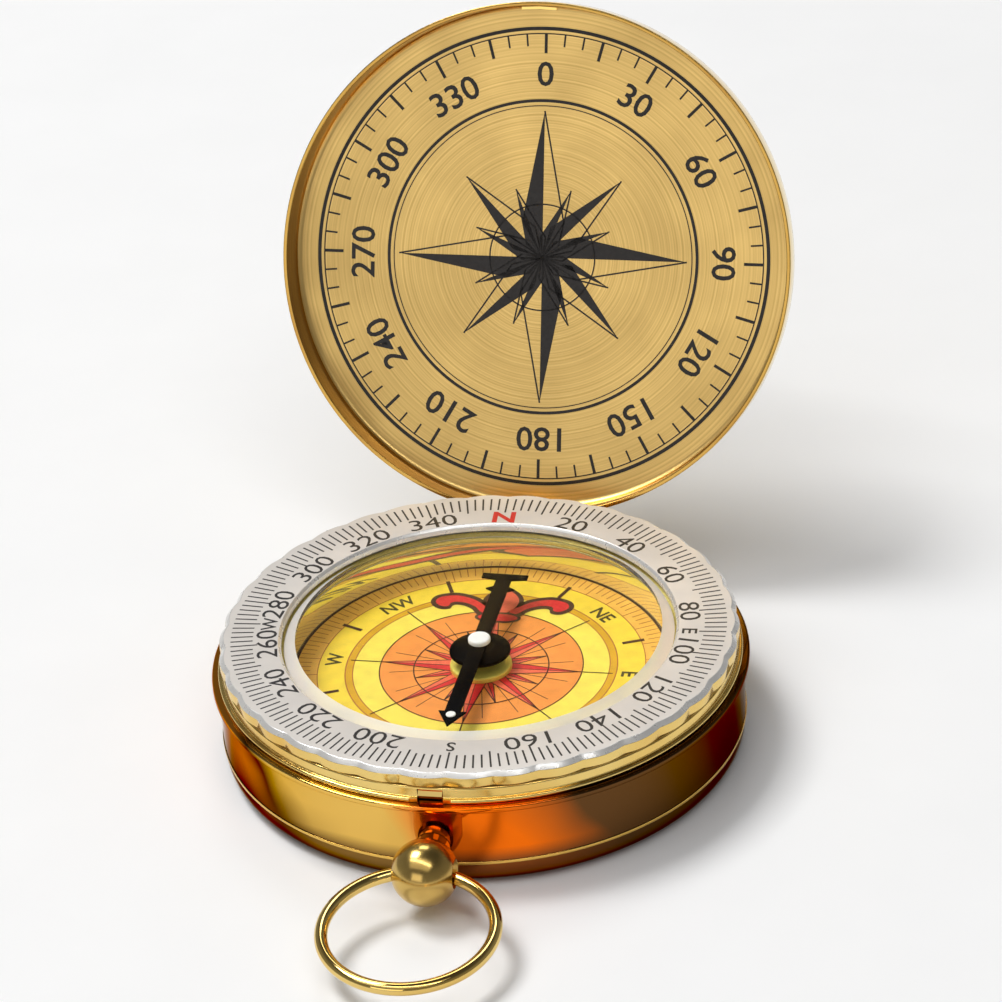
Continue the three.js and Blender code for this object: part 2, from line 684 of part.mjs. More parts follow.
// Catch in side view, [distance from the axis, height]: tail on the stem, shelf, and nose under the bezel.
function catchHook() {
  const tailIn = hookTailOut - HOOK_THICKNESS;
  const shelfTop = shelfFoot + HOOK_THICKNESS;
  const outline = [
    [tailIn, stemZ - HOOK_TAIL],
    [hookTailOut, stemZ - HOOK_TAIL],
    [hookTailOut, shelfFoot],
    [hookOut, shelfFoot],
    [hookOut, noseFoot],
    [noseOut, noseFoot],
    [hookOut, noseFoot + HOOK_THICKNESS],
    [hookIn, noseFoot + HOOK_THICKNESS],
    [hookIn, shelfTop],
    [tailIn, shelfTop],
  ];
  const shape = new THREE.Shape(outline.map(([out, height]) => new THREE.Vector2(out, height)));
  const plate = new THREE.ExtrudeGeometry(shape, { depth: HOOK_WIDTH, bevelEnabled: false });
  return plate.translate(0, 0, -HOOK_WIDTH / 2).rotateX(Math.PI / 2).rotateZ(-Math.PI / 2);
}

// Leaf spring behind the catch, with a foot that is screwed to the spacer.
function catchSpring() {
  const start = degrees(-90);
  const end = degrees(-90 - SPRING_SWEEP);
  const shape = new THREE.Shape();
  shape.absarc(0, 0, springOut, start, end, true);
  shape.absarc(0, 0, springOut - SPRING_THICKNESS, end, start, false);
  const options = { depth: SPRING_WIDTH, bevelEnabled: false, curveSegments: SPRING_SEGMENTS };
  const strip = new THREE.ExtrudeGeometry(shape, options).translate(0, 0, stemZ - SPRING_WIDTH / 2);
  const foot = boxBetween(
    [spacerRadius + SEAT_GAP, -SPRING_FOOT / 2, stemZ - SPRING_WIDTH / 2],
    [springOut - SPRING_THICKNESS + SPRING_WELD, SPRING_FOOT / 2, stemZ + SPRING_WIDTH / 2],
  );
  return carve([strip, foot.rotateZ(end)], [springScrewHole()]);
}

// Places a profile of [radius, distance from the axis] along the spring's screw.
function alongScrew(profile) {
  const screw = turned(profile, SMALL_SEGMENTS).rotateY(Math.PI / 2);
  return screw.rotateZ(degrees(-90 - SPRING_SWEEP)).translate(0, 0, stemZ);
}

function springScrewHole() {
  const radius = SCREW_RADIUS + SEAT_GAP;
  const bottom = spacerRadius - SCREW_DEPTH;
  return alongScrew([[0, bottom], [radius, bottom], [radius, caseBore], [0, caseBore]]);
}

function springScrew() {
  const headFoot = springOut + SEAT_GAP;
  const tip = spacerRadius - SCREW_DEPTH + SEAT_GAP;
  return alongScrew([
    [0, tip],
    [SCREW_RADIUS, tip],
    [SCREW_RADIUS, headFoot],
    [SCREW_HEAD_RADIUS, headFoot],
    [SCREW_HEAD_RADIUS, headFoot + SCREW_HEAD],
    [0, headFoot + SCREW_HEAD],
  ]);
}

function spacerRing() {
  const top = spacerFoot + SPACER_HEIGHT;
  const ring = ringBand(spacerRadius - SPACER_WALL, spacerRadius, spacerFoot, top);
  return carve([ring], [springScrewHole()]);
}

function crystalGasket() {
  const bore = DIAL_RADIUS + REFLECTOR_TAPER + GASKET_INSET;
  return ringBand(bore, reflectorRadius - GASKET_INSET, gasketFoot, gasketFoot + GASKET_HEIGHT);
}

// Bow ring with its wire through the middle of its group.
function bowRing() {
  const ring = new THREE.TorusGeometry(BOW_RADIUS, BOW_WIRE, WIRE_SEGMENTS, BOW_SEGMENTS);
  return ring.translate(0, -BOW_RADIUS, 0);
}

// Case and everything fixed in it
piece('case_body', caseBody(), POLISHED_BRASS);
piece('bezel_seat', bezelSeat(), POLISHED_BRASS);
piece('spacer_ring', spacerRing(), WHITE_PLASTIC);
piece('dial_plate', dialPlate(), STEEL);
piece('dial_card', disc(seatBore - SEAT_GAP, cardFoot, dialTop), DIAL_PRINT);
piece('reflector_ring', reflectorRing(), POLISHED_BRASS);
piece('crystal_gasket', crystalGasket(), RUBBER);
piece('crystal', crystal(), GLASS);
piece('pivot_base', pivotBase(), POLISHED_BRASS);
piece('pivot_pin', pivotPin(), STEEL);
piece('case_hinge_leaf', caseHingeLeaf(), POLISHED_BRASS);
piece('hinge_pin', hingeBarrel(HINGE_PIN_RADIUS, -hingeHalf, hingeHalf), STEEL);
piece('button_sleeve', buttonSleeve(), POLISHED_BRASS);
piece('catch_spring', catchSpring(), STEEL);
piece('catch_spring_screw', springScrew(), STEEL);

// Bezel, turned as it was left
const bezel = new THREE.Group();
bezel.rotation.z = degrees(BEZEL_TURN);
compass.add(bezel);
piece('bezel_ring', bezelRing(), SATIN_SILVER, bezel);
piece('bezel_snap_wire', snapWire(), STEEL, bezel);

// Needle
const needle = new THREE.Group();
needle.rotation.z = degrees(NEEDLE_TURN);
compass.add(needle);
piece('needle_blade', needleBlade(), BLACK_PAINT, needle);
piece('needle_hub', needleHub(), BLACK_PAINT, needle);
piece('needle_cap', needleCap(), WHITE_LUME, needle);
piece('needle_lume_dot', lumeDot(), WHITE_LUME, needle);

// Lid, drawn closed and swung back about the hinge pin
const lid = new THREE.Group();
lid.position.set(0, hingeY, hingeZ);
lid.rotation.x = -degrees(LID_OPEN);
const closedLid = new THREE.Group();
closedLid.position.set(0, -hingeY, -hingeZ);
lid.add(closedLid);
compass.add(lid);
piece('lid_shell', lidShell(), BRUSHED_BRASS, closedLid);
piece('lid_hinge_leaf', lidHingeLeaf(), POLISHED_BRASS, closedLid);
piece('lid_catch_lip', lidCatchLip(), POLISHED_BRASS, closedLid);

// Push button with its catch
piece('button_ball', buttonBall(), POLISHED_BRASS);
piece('button_stem', stemCylinder(STEM_RADIUS, hookTailOut + SEAT_GAP, socketEnd - SEAT_GAP), STEEL);
piece('stem_clip', stemClip(), STEEL);
piece('catch_hook', catchHook(), STEEL);

// Bow ring, held almost level by the ball
const bow = new THREE.Group();
bow.position.set(0, -ballOut, stemZ);
bow.rotation.x = degrees(BOW_TILT);
compass.add(bow);
piece('bow_ring', bowRing(), POLISHED_BRASS, bow);

export default compass;
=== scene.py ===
"""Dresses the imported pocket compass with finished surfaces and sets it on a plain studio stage."""

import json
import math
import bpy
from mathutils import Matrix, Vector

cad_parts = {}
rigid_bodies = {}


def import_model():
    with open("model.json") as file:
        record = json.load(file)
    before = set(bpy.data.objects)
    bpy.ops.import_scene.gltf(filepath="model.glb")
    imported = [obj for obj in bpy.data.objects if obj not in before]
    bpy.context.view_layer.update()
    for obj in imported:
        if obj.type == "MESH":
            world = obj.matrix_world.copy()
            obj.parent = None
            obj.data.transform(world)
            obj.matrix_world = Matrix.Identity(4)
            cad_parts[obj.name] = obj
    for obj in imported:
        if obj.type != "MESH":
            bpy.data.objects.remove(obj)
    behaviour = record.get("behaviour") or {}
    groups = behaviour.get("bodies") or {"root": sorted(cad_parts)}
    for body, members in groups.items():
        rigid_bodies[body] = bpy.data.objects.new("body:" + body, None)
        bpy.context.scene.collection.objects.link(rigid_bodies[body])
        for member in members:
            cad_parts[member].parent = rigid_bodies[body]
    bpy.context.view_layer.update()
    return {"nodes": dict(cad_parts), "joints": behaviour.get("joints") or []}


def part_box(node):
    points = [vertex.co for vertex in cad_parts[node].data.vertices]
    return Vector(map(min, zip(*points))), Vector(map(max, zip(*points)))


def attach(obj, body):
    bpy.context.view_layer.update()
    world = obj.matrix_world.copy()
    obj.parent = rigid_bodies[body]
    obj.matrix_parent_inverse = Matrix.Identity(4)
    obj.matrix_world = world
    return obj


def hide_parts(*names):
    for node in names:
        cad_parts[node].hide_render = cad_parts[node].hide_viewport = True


bl_info = {
    "name": "Pocket Compass",
    "version": (1, 0, 0),
    "blender": (4, 5, 0),
    "location": "View3D > Sidebar > Compass",
    "description": "Brass pocket compass with a hinged lid, a turning bezel and a printed dial",
    "category": "Object",
}

import bmesh
import bpy
from bpy.props import FloatProperty, FloatVectorProperty, IntProperty, PointerProperty
from bpy.types import NodeSocket, Operator, Panel, PropertyGroup
from mathutils import Matrix, Vector

for leftover in list(bpy.data.objects):
    bpy.data.objects.remove(leftover)
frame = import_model()

MM = 0.001
FULL_TURN = 2.0 * math.pi
RIGHT_ANGLE = math.pi / 2.0
TURN_STEPS = 192  # round a large turned piece
SMALL_STEPS = 64  # round a small turned piece
FILLET_STEPS = 5  # round a rounded corner
BEVEL_STEPS = 3  # across a bevelled edge
MERGE_DISTANCE = 1e-7
SHARP_ANGLE = math.radians(35.0)
FILM = 0.006 * MM  # thickness of one layer of print
SEAT_GAP = 0.05 * MM  # between pieces that are fixed to each other
RUN_GAP = 0.2 * MM  # round pieces that move
RUN_ROOM = Vector((RUN_GAP, RUN_GAP, RUN_GAP))
THIN_EDGE = 0.08 * MM  # roundings of turned edges, from sharp to soft
FINE_EDGE = 0.1 * MM
TRIM_EDGE = 0.12 * MM
SOFT_EDGE = 0.15 * MM
ROUND_EDGE = 0.2 * MM
WINDS = 16  # points of a rose
MIDDLE = (0.0, 0.0, 0.0)
UPRIGHT = (0.0, 0.0, 1.0)


def joint_named(name):
    """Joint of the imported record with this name."""
    return next(joint for joint in frame["joints"] if joint["name"] == name)


HINGE = Vector(joint_named("lid_hinge")["pos_m"])
LID_OPEN = math.radians(joint_named("lid_hinge")["range_deg"][1])
BUTTON_TRAVEL = joint_named("button_press")["range_m"][1]
BALL_MIDDLE = Vector(joint_named("bow_swing")["pos_m"])

# Placements of pieces that are drawn about +Z, or with the lid shut
ALONG_X = Matrix.Rotation(RIGHT_ANGLE, 4, "Y")
ALONG_HINGE = Matrix.Translation((0.0, HINGE.y, HINGE.z)) @ ALONG_X
ALONG_STEM = Matrix.Translation((0.0, 0.0, BALL_MIDDLE.z)) @ Matrix.Rotation(RIGHT_ANGLE, 4, "X")
OPENED = Matrix.Translation(HINGE) @ Matrix.Rotation(-LID_OPEN, 4, "X") @ Matrix.Translation(-HINGE)


def srgb(red, green, blue):
    """Linear colour of an ordinary 0 to 255 colour."""
    shares = (value / 255.0 for value in (red, green, blue))
    return tuple(s / 12.92 if s <= 0.04045 else ((s + 0.055) / 1.055) ** 2.4 for s in shares)


def length(label, description, millimetres):
    """Length property, given in millimetres."""
    return FloatProperty(
        name=label, description=description, default=millimetres * MM, unit="LENGTH", precision=5
    )


def angle(label, description, degrees):
    """Angle property."""
    default = math.radians(degrees)
    return FloatProperty(name=label, description=description, default=default, subtype="ANGLE")


def colour(label, description, default):
    """Colour property."""
    return FloatVectorProperty(
        name=label, description=description, default=default, subtype="COLOR", size=3, min=0.0, max=1.0
    )


def glow(label, default):
    """Brightness property of a lamp."""
    description = f"Brightness of the {label.lower()}'s face"
    return FloatProperty(name=label, description=description, default=default)


class CaseSizes(PropertyGroup):
    """Sizes of the cup, the ring that carries the bezel and the hinge."""

    radius: length("Wall radius", "Outside of the cup's wall", 24.45)
    bore: length("Bore", "Inside of the cup's wall", 22.6)
    base: length("Base", "Thickness of the cup's base", 1.2)
    edge: length("Lower edge", "Radius of the rounded lower edge", 2.0)
    foot: length("Foot", "Height of the cup's foot, up to its bead", 2.5)
    foot_bead: length("Foot bead", "Height of the bead round the foot", 0.3)
    foot_rise: length("Foot bead rise", "How far the bead stands out", 0.09)
    flange: length("Flange", "Thickness of the flange under the lid", 0.6)
    seat_bore: length("Seat bore", "Inside of the ring that carries the bezel", 20.6)
    band_radius: length("Band radius", "Outside of the band above the bead", 24.0)
    band_height: length("Band height", "Height of the band above the bead", 1.0)
    bead_height: length("Bead height", "Height of the bead under the band", 0.45)
    wire_groove: length("Wire groove", "Depth of the snap wire's groove", 0.35)
    knuckle: length("Knuckle radius", "Radius of the hinge's knuckles", 1.0)
    knuckle_gap: length("Knuckle gap", "Room round the hinge's knuckles", 0.3)
    leaf: length("Leaf", "Thickness of the hinge's leaves", 0.45)
    lid_leaf: length("Lid leaf", "Height of the lid's leaf", 2.0)
    lid_leaf_half: length("Lid leaf width", "Half the width of the lid's leaf", 3.2)
    lid_knuckle: length("Lid knuckle", "Half the length of the lid's knuckle", 2.1)
    web: length("Web", "Thickness of the webs between leaves and knuckles", 0.32)
    web_drop: length("Web drop", "How far a web reaches down its leaf", 0.9)
    catch_wall: length("Catch wall", "Wall outside the catch's slot", 0.8)


class BezelSizes(PropertyGroup):
    """Sizes of the turning bezel and its printed scale."""

    crest: length("Crest radius", "Outside of the scalloped grip", 24.15)
    bore: length("Bore", "Inside of the bezel's lip", 18.33)
    plate: length("Plate", "Thickness of the bezel's plate", 0.7)
    rim: length("Grip height", "Height of the scalloped grip", 1.3)
    chamfer: length("Chamfer", "Bright chamfer round the grip", 0.4)
    lip_bevel: length("Lip bevel", "Bevel round the lip", 0.25)
    scallops: IntProperty(name="Scallops", description="Scallops round the grip", default=36)
    scallop_depth: length("Scallop depth", "Depth of a scallop", 0.28)
    collar_bore: length("Collar bore", "Inside of the collar below the plate", 19.5)
    collar_radius: length("Collar radius", "Outside of the collar", 20.4)
    wire_groove: length("Wire groove", "Depth of the snap wire's groove", 0.2)
    edge: length("Edge", "Rounding of the turned edges", 0.05)
    turn: angle("Turn", "How far the bezel stands turned", 3.4)
    tick_outer: length("Tick end", "Outer end of the printed ticks", 23.0)
    tick_long: length("Long tick start", "Inner end of the long ticks", 20.5)
    tick_short: length("Short tick start", "Inner end of the short ticks", 20.95)
    tick_width: length("Tick width", "Width of a printed tick", 0.17)
    number_radius: length("Number radius", "Middle of the numbers", 19.62)
    number_size: length("Number size", "Height of the printed numbers", 1.95)
    letter_size: length("Letter size", "Height of the printed letters", 1.4)


class DialSizes(PropertyGroup):
    """Sizes of the printed dial, its reflector, the boss of the pivot and the crystal."""

    radius: length("Dial radius", "Visible part of the card", 17.6)
    star_radius: length("Star disc", "Disc behind the star", 9.5)
    pale_radius: length("Pale ring", "Outside of the pale ring", 12.0)
    gold_radius: length("Gold ring", "Outside of the double ring", 12.7)
    letter_radius: length("Letter ring", "Outside of the letters' ring", 15.3)
    tick_radius: length("Tick ring", "Outside of the tick ring", 17.35)
    letter_middle: length("Letters", "Middle of the letters", 13.95)
    letter_size: length("Letter size", "Height of the letters", 1.5)
    inner_circle: length("Inner circle", "Thin circle across the star", 6.3)
    star_waist: length("Star waist", "Where the star's points are widest", 2.7)
    line: length("Line", "Width of the printed lines", 0.1)
    bold_line: length("Bold line", "Width of the bolder lines", 0.12)
    hair_line: length("Hair line", "Width of the lines along the star's points", 0.08)
    faint_line: length("Faint line", "Width of the lines between the star's points", 0.07)
    wind_mark: length("Wind mark", "Width of the marks between the letters", 0.38)
    wind_mark_start: length("Wind mark start", "Inner end of those marks", 13.5)
    short_tick: length("Short tick", "How much shorter most ticks are", 0.7)
    boss_bore: length("Boss bore", "Bore of the pivot's boss", 0.25)
    boss_shoulder: length("Boss shoulder", "Height of the boss's shoulder", 0.5)
    boss_rise: length("Boss rise", "How much the shoulder rises to the neck", 0.15)
    boss_neck: length("Boss neck", "Radius of the boss's neck at its foot", 1.1)
    boss_top: length("Boss top", "Radius of the boss's neck at its top", 0.9)
    reflector_wall: length("Reflector wall", "Wall of the reflector ring", 1.7)
    reflector_taper: length("Reflector taper", "How much its bore opens upwards", 0.25)
    reflector_foot: length("Reflector foot", "Height of its foot", 0.7)
    crystal_thickness: length("Crystal", "Thickness of the crystal", 0.65)
    crystal_clear: length("Crystal opening", "Radius of the crystal inside the bezel's lip", 18.13)
    crystal_bevel: length("Crystal bevel", "Width of the ground bevel round the crystal", 1.1)
    crystal_crown: length("Crystal crown", "How much the middle stands above the bevel", 0.15)


class NeedleSizes(PropertyGroup):
    """Sizes of the needle, its hub and its cap."""

    turn: angle("Turn", "How far the needle points off the hinge", -1.55)
    width: length("Width", "Width of the blade", 1.5)
    north: length("North reach", "Length to the north tip", 11.9)
    bar_width: length("Bar width", "Width of the north cross bar", 4.4)
    bar_length: length("Bar length", "Length of the cross bar along the blade", 1.0)
    bar_rake: length("Bar rake", "How much the bar sweeps back", 0.25)
    barb_width: length("Barb width", "Width over the barbs", 2.8)
    barb_length: length("Barb length", "Length of a barb along the blade", 0.8)
    barb_back: length("Barb place", "Barbs' outer edge behind the tip", 2.2)
    south: length("South reach", "Length to the south tip", 14.0)
    head_length: length("Head length", "Length of the south head", 2.4)
    head_width: length("Head width", "Width of the south head", 2.6)
    bevel: length("Bevel", "Rounding of the blade's edges", 0.05)
    hub_bore: length("Hub bore", "Bore of the hub", 0.55)
    hub_rim: length("Hub rim", "Height of the hub's rim", 0.35)
    hub_top: length("Hub top", "Radius of the hub's top", 1.5)
    cap_bore: length("Cap bore", "Bore of the cap for the pivot", 0.32)
    cap_stem: length("Cap stem", "Radius of the cap's stem", 0.5)
    cap_roof: length("Cap roof", "End of the bore below the packed cap's top", 0.6)
    cap_drop: length("Cap drop", "How much lower the cap is than the packed one", 0.35)
    cap_edge: length("Cap edge", "Rounding of the cap's top", 0.22)
    cap_foot_edge: length("Cap foot edge", "Rounding of the cap's foot", 0.06)


class LidSizes(PropertyGroup):
    """Sizes of the lid, drawn shut, and of the engraving inside it."""

    bore: length("Bore", "Inside of the lid's wall", 24.6)
    rim: length("Rim", "Height of the rim when shut", 8.95)
    face: length("Inner face", "Height of the inner face when shut", 13.2)
    crown: length("Crown", "Thickness of the crown at its edge", 0.6)
    dome: length("Dome", "Extra thickness at the middle", 0.5)
    edge: length("Outer edge", "Radius of the outer edge", 2.0)
    inner_edge: length("Inner edge", "Radius of the inner edge", 0.6)
    scale_radius: length("Scale", "Outside of the engraved scale", 22.3)
    number_radius: length("Numbers", "Middle of the engraved numbers", 17.9)
    number_size: length("Number size", "Height of the engraved numbers", 2.4)
    rose_ring: length("Rose ring", "Ring round the engraved rose", 15.3)
    rose_reach: length("Rose", "Reach of the rose's long points", 14.3)
    rose_heart: length("Rose heart", "Circle across the rose", 5.2)
    inset: length("Inset", "From an engraved ring to the thin one inside it", 0.5)


class ButtonSizes(PropertyGroup):
    """Sizes of the push button, its sleeve and the bow."""

    radius: length("Ball radius", "Radius of the ball", 3.05)
    sleeve: length("Sleeve", "Radius of the sleeve", 1.6)
    sleeve_bore: length("Sleeve bore", "Bore of the sleeve", 0.8)
    sleeve_start: length("Sleeve start", "Inner end of the sleeve, from the axis", 22.2)
    sleeve_end: length("Sleeve end", "Outer end of the sleeve, from the axis", 25.6)
    socket: length("Stem socket", "Radius of the socket for the stem", 0.75)
    socket_end: length("Socket end", "Bottom of the stem's socket, from the axis", 27.1)
    bow_radius: length("Bow radius", "Radius to the middle of the bow's wire", 7.65)
    bow_wire: length("Bow wire", "Radius of the bow's wire", 0.6)
    bow_tilt: angle("Bow tilt", "How far the bow hangs below level", 5.0)


class Finishes(PropertyGroup):
    """Colours of the finishes and the inks."""

    brass: colour("Brass", "Polished brass", (0.82, 0.60, 0.20))
    brass_dark: colour("Brass tarnish", "Polished brass where it has dulled", (0.74, 0.46, 0.11))
    gold_brass: colour("Case brass", "Bright brass of the case", (0.80, 0.50, 0.11))
    # Painted reflection: coppery orange across the case's front, not tarnish
    copper: colour("Case tarnish", "Coppery tarnish of the case", (0.95, 0.17, 0.005))
    # Painted reflection: amber at the case's left end
    amber_brass: colour("Case tint", "Amber tint at one end of the case", (0.84, 0.33, 0.05))
    grazing: colour("Case edge", "Tint of the case seen along its surface", (0.44, 0.23, 0.075))
    # Painted shade: darker brass of the lid's lip and inner wall; the foot's bead uses it as its tarnish
    # tone
    lip_brass: colour("Lid lip", "Duller brass of the lid's lip and inner wall", (0.50, 0.30, 0.07))
    # Tarnish clouds in the lid's painted shade, and on the ball
    lip_brass_dark: colour("Lid lip tarnish", "Tarnish of the lid's lip", (0.33, 0.16, 0.035))
    worn_brass: colour("Ball", "Worn brass of the ball", (0.66, 0.46, 0.14))
    gilt: colour("Gilt", "Bright gilding of the pivot's boss", (0.90, 0.76, 0.14))
    # Painted shade: dark brown of the case's foot, its lower left end and its dark bands, not patina
    bronze: colour("Case patina", "Brown patina of the case", (0.12, 0.055, 0.018))
    mirror: colour("Reflector", "Pale gilt of the reflector ring", (0.96, 0.94, 0.56))
    mirror_dark: colour("Reflector tarnish", "Gilt where it has dulled", (0.92, 0.84, 0.42))
    lid_brass: colour("Lid brass", "Turned brass inside the lid", (0.82, 0.56, 0.20))
    lid_brass_dark: colour("Lid grain", "Grooves in the turned brass", (0.64, 0.42, 0.135))
    silver: colour("Silver", "Satin silver of the bezel", srgb(228, 222, 215))
    bright_silver: colour("Bright silver", "Cut edges of the bezel", srgb(232, 230, 226))
    steel: colour("Steel", "Steel of the pins and the spring", srgb(176, 180, 186))
    glass: colour("Glass", "Clear glass of the crystal", (0.98, 0.99, 0.99))
    # Partly painted reflection: the milky white of the ground bevel stands in for a glare on the crystal's
    # edge
    ground: colour("Ground glass", "Bevel of the crystal", (0.97, 0.97, 0.95))
    ground_dark: colour("Ground grain", "Grain of the crystal's bevel", (0.90, 0.90, 0.88))
    enamel: colour("Enamel", "Black enamel of the needle", srgb(9, 8, 8))
    rubber: colour("Gasket", "Pale silicone of the crystal's gasket", srgb(250, 232, 140))
    plastic: colour("Plastic", "Moulded spacer under the dial", srgb(230, 228, 220))
    lume: colour("Lume", "White paint of the needle's cap", srgb(244, 243, 236))
    yellow: colour("Dial yellow", "Letter ring of the dial", srgb(246, 212, 58))
    pale: colour("Dial pale", "Ring round the star", srgb(250, 226, 84))
    orange: colour("Dial orange", "Disc behind the star", srgb(246, 150, 60))
    gold: colour("Dial gold", "Double ring of the dial", srgb(220, 166, 10))
    amber: colour("Dial amber", "Tick ring of the dial", srgb(238, 182, 76))
    red: colour("Dial red", "Star and lily", srgb(222, 40, 38))
    coral: colour("Dial coral", "Light halves of the star", srgb(246, 108, 72))
    umber: colour("Dial umber", "Outlines on the dial", srgb(70, 36, 16))
    olive: colour("Dial olive", "Letters on the dial", srgb(74, 64, 18))
    ink: colour("Black ink", "Numbers and letters", srgb(34, 32, 32))
    scale_red: colour("Red ink", "North mark on the bezel", srgb(214, 38, 36))
    engraving: colour("Engraving", "Dark fill of the engraving in the lid", srgb(26, 18, 12))


class StageSizes(PropertyGroup):
    """Camera, lamps and floor."""

    camera_place: FloatVectorProperty(
        name="Camera place",
        description="Where the camera stands",
        default=(80.498 * MM, -352.433 * MM, 242.042 * MM),
        subtype="TRANSLATION",
    )
    camera_azimuth: angle("Camera azimuth", "Turn of the camera round the compass", 12.408)
    camera_elevation: angle("Camera elevation", "Height of the camera's view", 30.939)
    camera_roll: angle("Camera roll", "Roll of the camera", -3.932)
    camera_lens: FloatProperty(
        name="Camera lens",
        description="Focal length on a 36 mm sensor",
        default=166.34,
        subtype="DISTANCE_CAMERA",
    )
    floor_radius: length("Floor radius", "Radius of the floor", 6000.0)
    floor: colour("Floor", "Pale floor", (0.93, 0.93, 0.93))
    key: glow("Key lamp", 15.3)
    back: glow("Back lamp", 4.0)
    top: glow("Top lamp", 0.7)
    strip: glow("Strip lamp", 9.0)
    fill: glow("Fill lamp", 1.2)


class CompassSettings(PropertyGroup):
    """Everything that a user would change."""

    case: PointerProperty(type=CaseSizes)
    bezel: PointerProperty(type=BezelSizes)
    dial: PointerProperty(type=DialSizes)
    needle: PointerProperty(type=NeedleSizes)
    lid: PointerProperty(type=LidSizes)
    button: PointerProperty(type=ButtonSizes)
    finishes: PointerProperty(type=Finishes)
    stage: PointerProperty(type=StageSizes)


# Mesh helpers


def tidy(bm):
    """Merges doubles and turns the faces outwards."""
    bmesh.ops.remove_doubles(bm, verts=bm.verts, dist=MERGE_DISTANCE)
    bmesh.ops.recalc_face_normals(bm, faces=bm.faces)


def bevel(bm, geometry, amount, affect="EDGES", segments=BEVEL_STEPS):
    """Rounds edges or corners."""
    bmesh.ops.bevel(
        bm, geom=geometry, offset=amount, affect=affect, segments=segments, profile=0.5, material=-1
    )


def rounded_wire(bm, profile):
    """Wire through (radius, height) or (radius, height, rounding) points in the XZ plane.

    It is closed, unless it starts on the axis.
    """
    corners = [bm.verts.new((point[0], 0.0, point[1])) for point in profile]
    following = corners[1:] + corners[:1] if profile[0][0] > 0.0 else corners[1:]
    for start, end in zip(corners, following):
        bm.edges.new((start, end))
    for corner, point in zip(corners, profile):
        if len(point) > 2 and point[2] > 0.0:
            bevel(bm, [corner], point[2], "VERTICES", FILLET_STEPS)


def spin(bm, turn=FULL_TURN, steps=TURN_STEPS):
    """Spins a mesh about +Z."""
    geometry = bm.verts[:] + bm.edges[:] + bm.faces[:]
    full = turn == FULL_TURN
    bmesh.ops.spin(bm, geom=geometry, cent=MIDDLE, axis=UPRIGHT, angle=turn, steps=steps, use_merge=full)
    tidy(bm)


def turned(profile, steps=TURN_STEPS):
    """Solid turned about +Z. A profile that starts on the axis ends there too."""
    bm = bmesh.new()
    rounded_wire(bm, profile)
    spin(bm, steps=steps)
    return bm


def rod(radius, start, end, edge=0.0, bore=0.0, steps=SMALL_STEPS):
    """Cylinder or tube along +Z."""
    return turned([(bore, start), (radius, start, edge), (radius, end, edge), (bore, end)], steps)


def swept(profile, half_width):
    """Solid of a profile swept about +Z, to half a width on either side of +Y."""
    bm = bmesh.new()
    rounded_wire(bm, profile)
    bmesh.ops.contextual_create(bm, geom=bm.edges[:])
    half_turn = math.asin(half_width / max(point[0] for point in profile))
    placed(bm, Matrix.Rotation(RIGHT_ANGLE - half_turn, 4, "Z"))
    spin(bm, 2.0 * half_turn, SMALL_STEPS)
    return bm


def boxed(low, high, edge=0.0):
    """Box between two corners."""
    bm = bmesh.new()
    low = Vector(low)
    high = Vector(high)
    place = Matrix.LocRotScale((low + high) / 2.0, None, high - low)
    bmesh.ops.create_cube(bm, size=1.0, matrix=place)
    if edge > 0.0:
        bevel(bm, bm.edges[:], edge)
    return bm


def placed(bm, matrix):
    """Moves a mesh by a matrix."""
    bmesh.ops.transform(bm, matrix=matrix, verts=bm.verts)
    return bm


def spun_by(bm, amount):
    """Turns a mesh about the compass's axis."""
    return placed(bm, Matrix.Rotation(amount, 4, "Z"))


def take_up(bm, mesh):
    """Adds a mesh, which is then dropped."""
    bm.from_mesh(mesh)
    bpy.data.meshes.remove(mesh)


def append(bm, extra):
    """Adds one mesh in the making to another."""
    mesh = bpy.data.meshes.new("extra")
    extra.to_mesh(mesh)
    extra.free()
    take_up(bm, mesh)


def joined(*parts):
    """One mesh of several closed ones."""
    whole = bmesh.new()
    for part in parts:
        append(whole, part)
    return whole


def new_object(name, bm):
    """Object of a finished mesh."""
    mesh = bpy.data.meshes.new(name)
    bm.to_mesh(mesh)
    bm.free()
    made = bpy.data.objects.new(name, mesh)
    bpy.context.scene.collection.objects.link(made)
    return made


def carved(bm, *cutters):
    """Cuts closed meshes out of another."""
    target = new_object("carved", bm)
    tools = [new_object("cutter", cutter) for cutter in cutters]
    for tool in tools:
        cut = target.modifiers.new("cut", "BOOLEAN")
        cut.operation = "DIFFERENCE"
        cut.solver = "EXACT"
        cut.object = tool
    result = bmesh.new()
    result.from_object(target, bpy.context.evaluated_depsgraph_get())
    for made in (target, *tools):
        mesh = made.data
        bpy.data.objects.remove(made)
        bpy.data.meshes.remove(mesh)
    tidy(result)
    return result


def paint(bm, index, chosen):
    """Gives another material to the faces that a test of middle and normal picks."""
    for face in bm.faces:
        if chosen(face.calc_center_median(), face.normal):
            face.material_index = index


def add_piece(name, bm, body, slot, *materials, replaced=None):
    """Finishes a mesh as a piece that rides on a body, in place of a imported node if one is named."""
    tidy(bm)
    made = new_object(name, bm)
    made.data.shade_smooth()
    made.data.set_sharp_from_angle(angle=SHARP_ANGLE)
    for material in materials:
        made.data.materials.append(material)
    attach(made, body)
    if replaced:
        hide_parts(replaced)


# Print helpers. They add thin closed shapes to a mesh, seen from above with north at +Y.


def bearing_turn(bearing):
    """Turn from north to a bearing, in degrees clockwise."""
    return Matrix.Rotation(-math.radians(bearing), 4, "Z")


def wind_turn(wind):
    """Turn from north to one of the winds, or between two."""
    return bearing_turn(wind * 360.0 / WINDS)


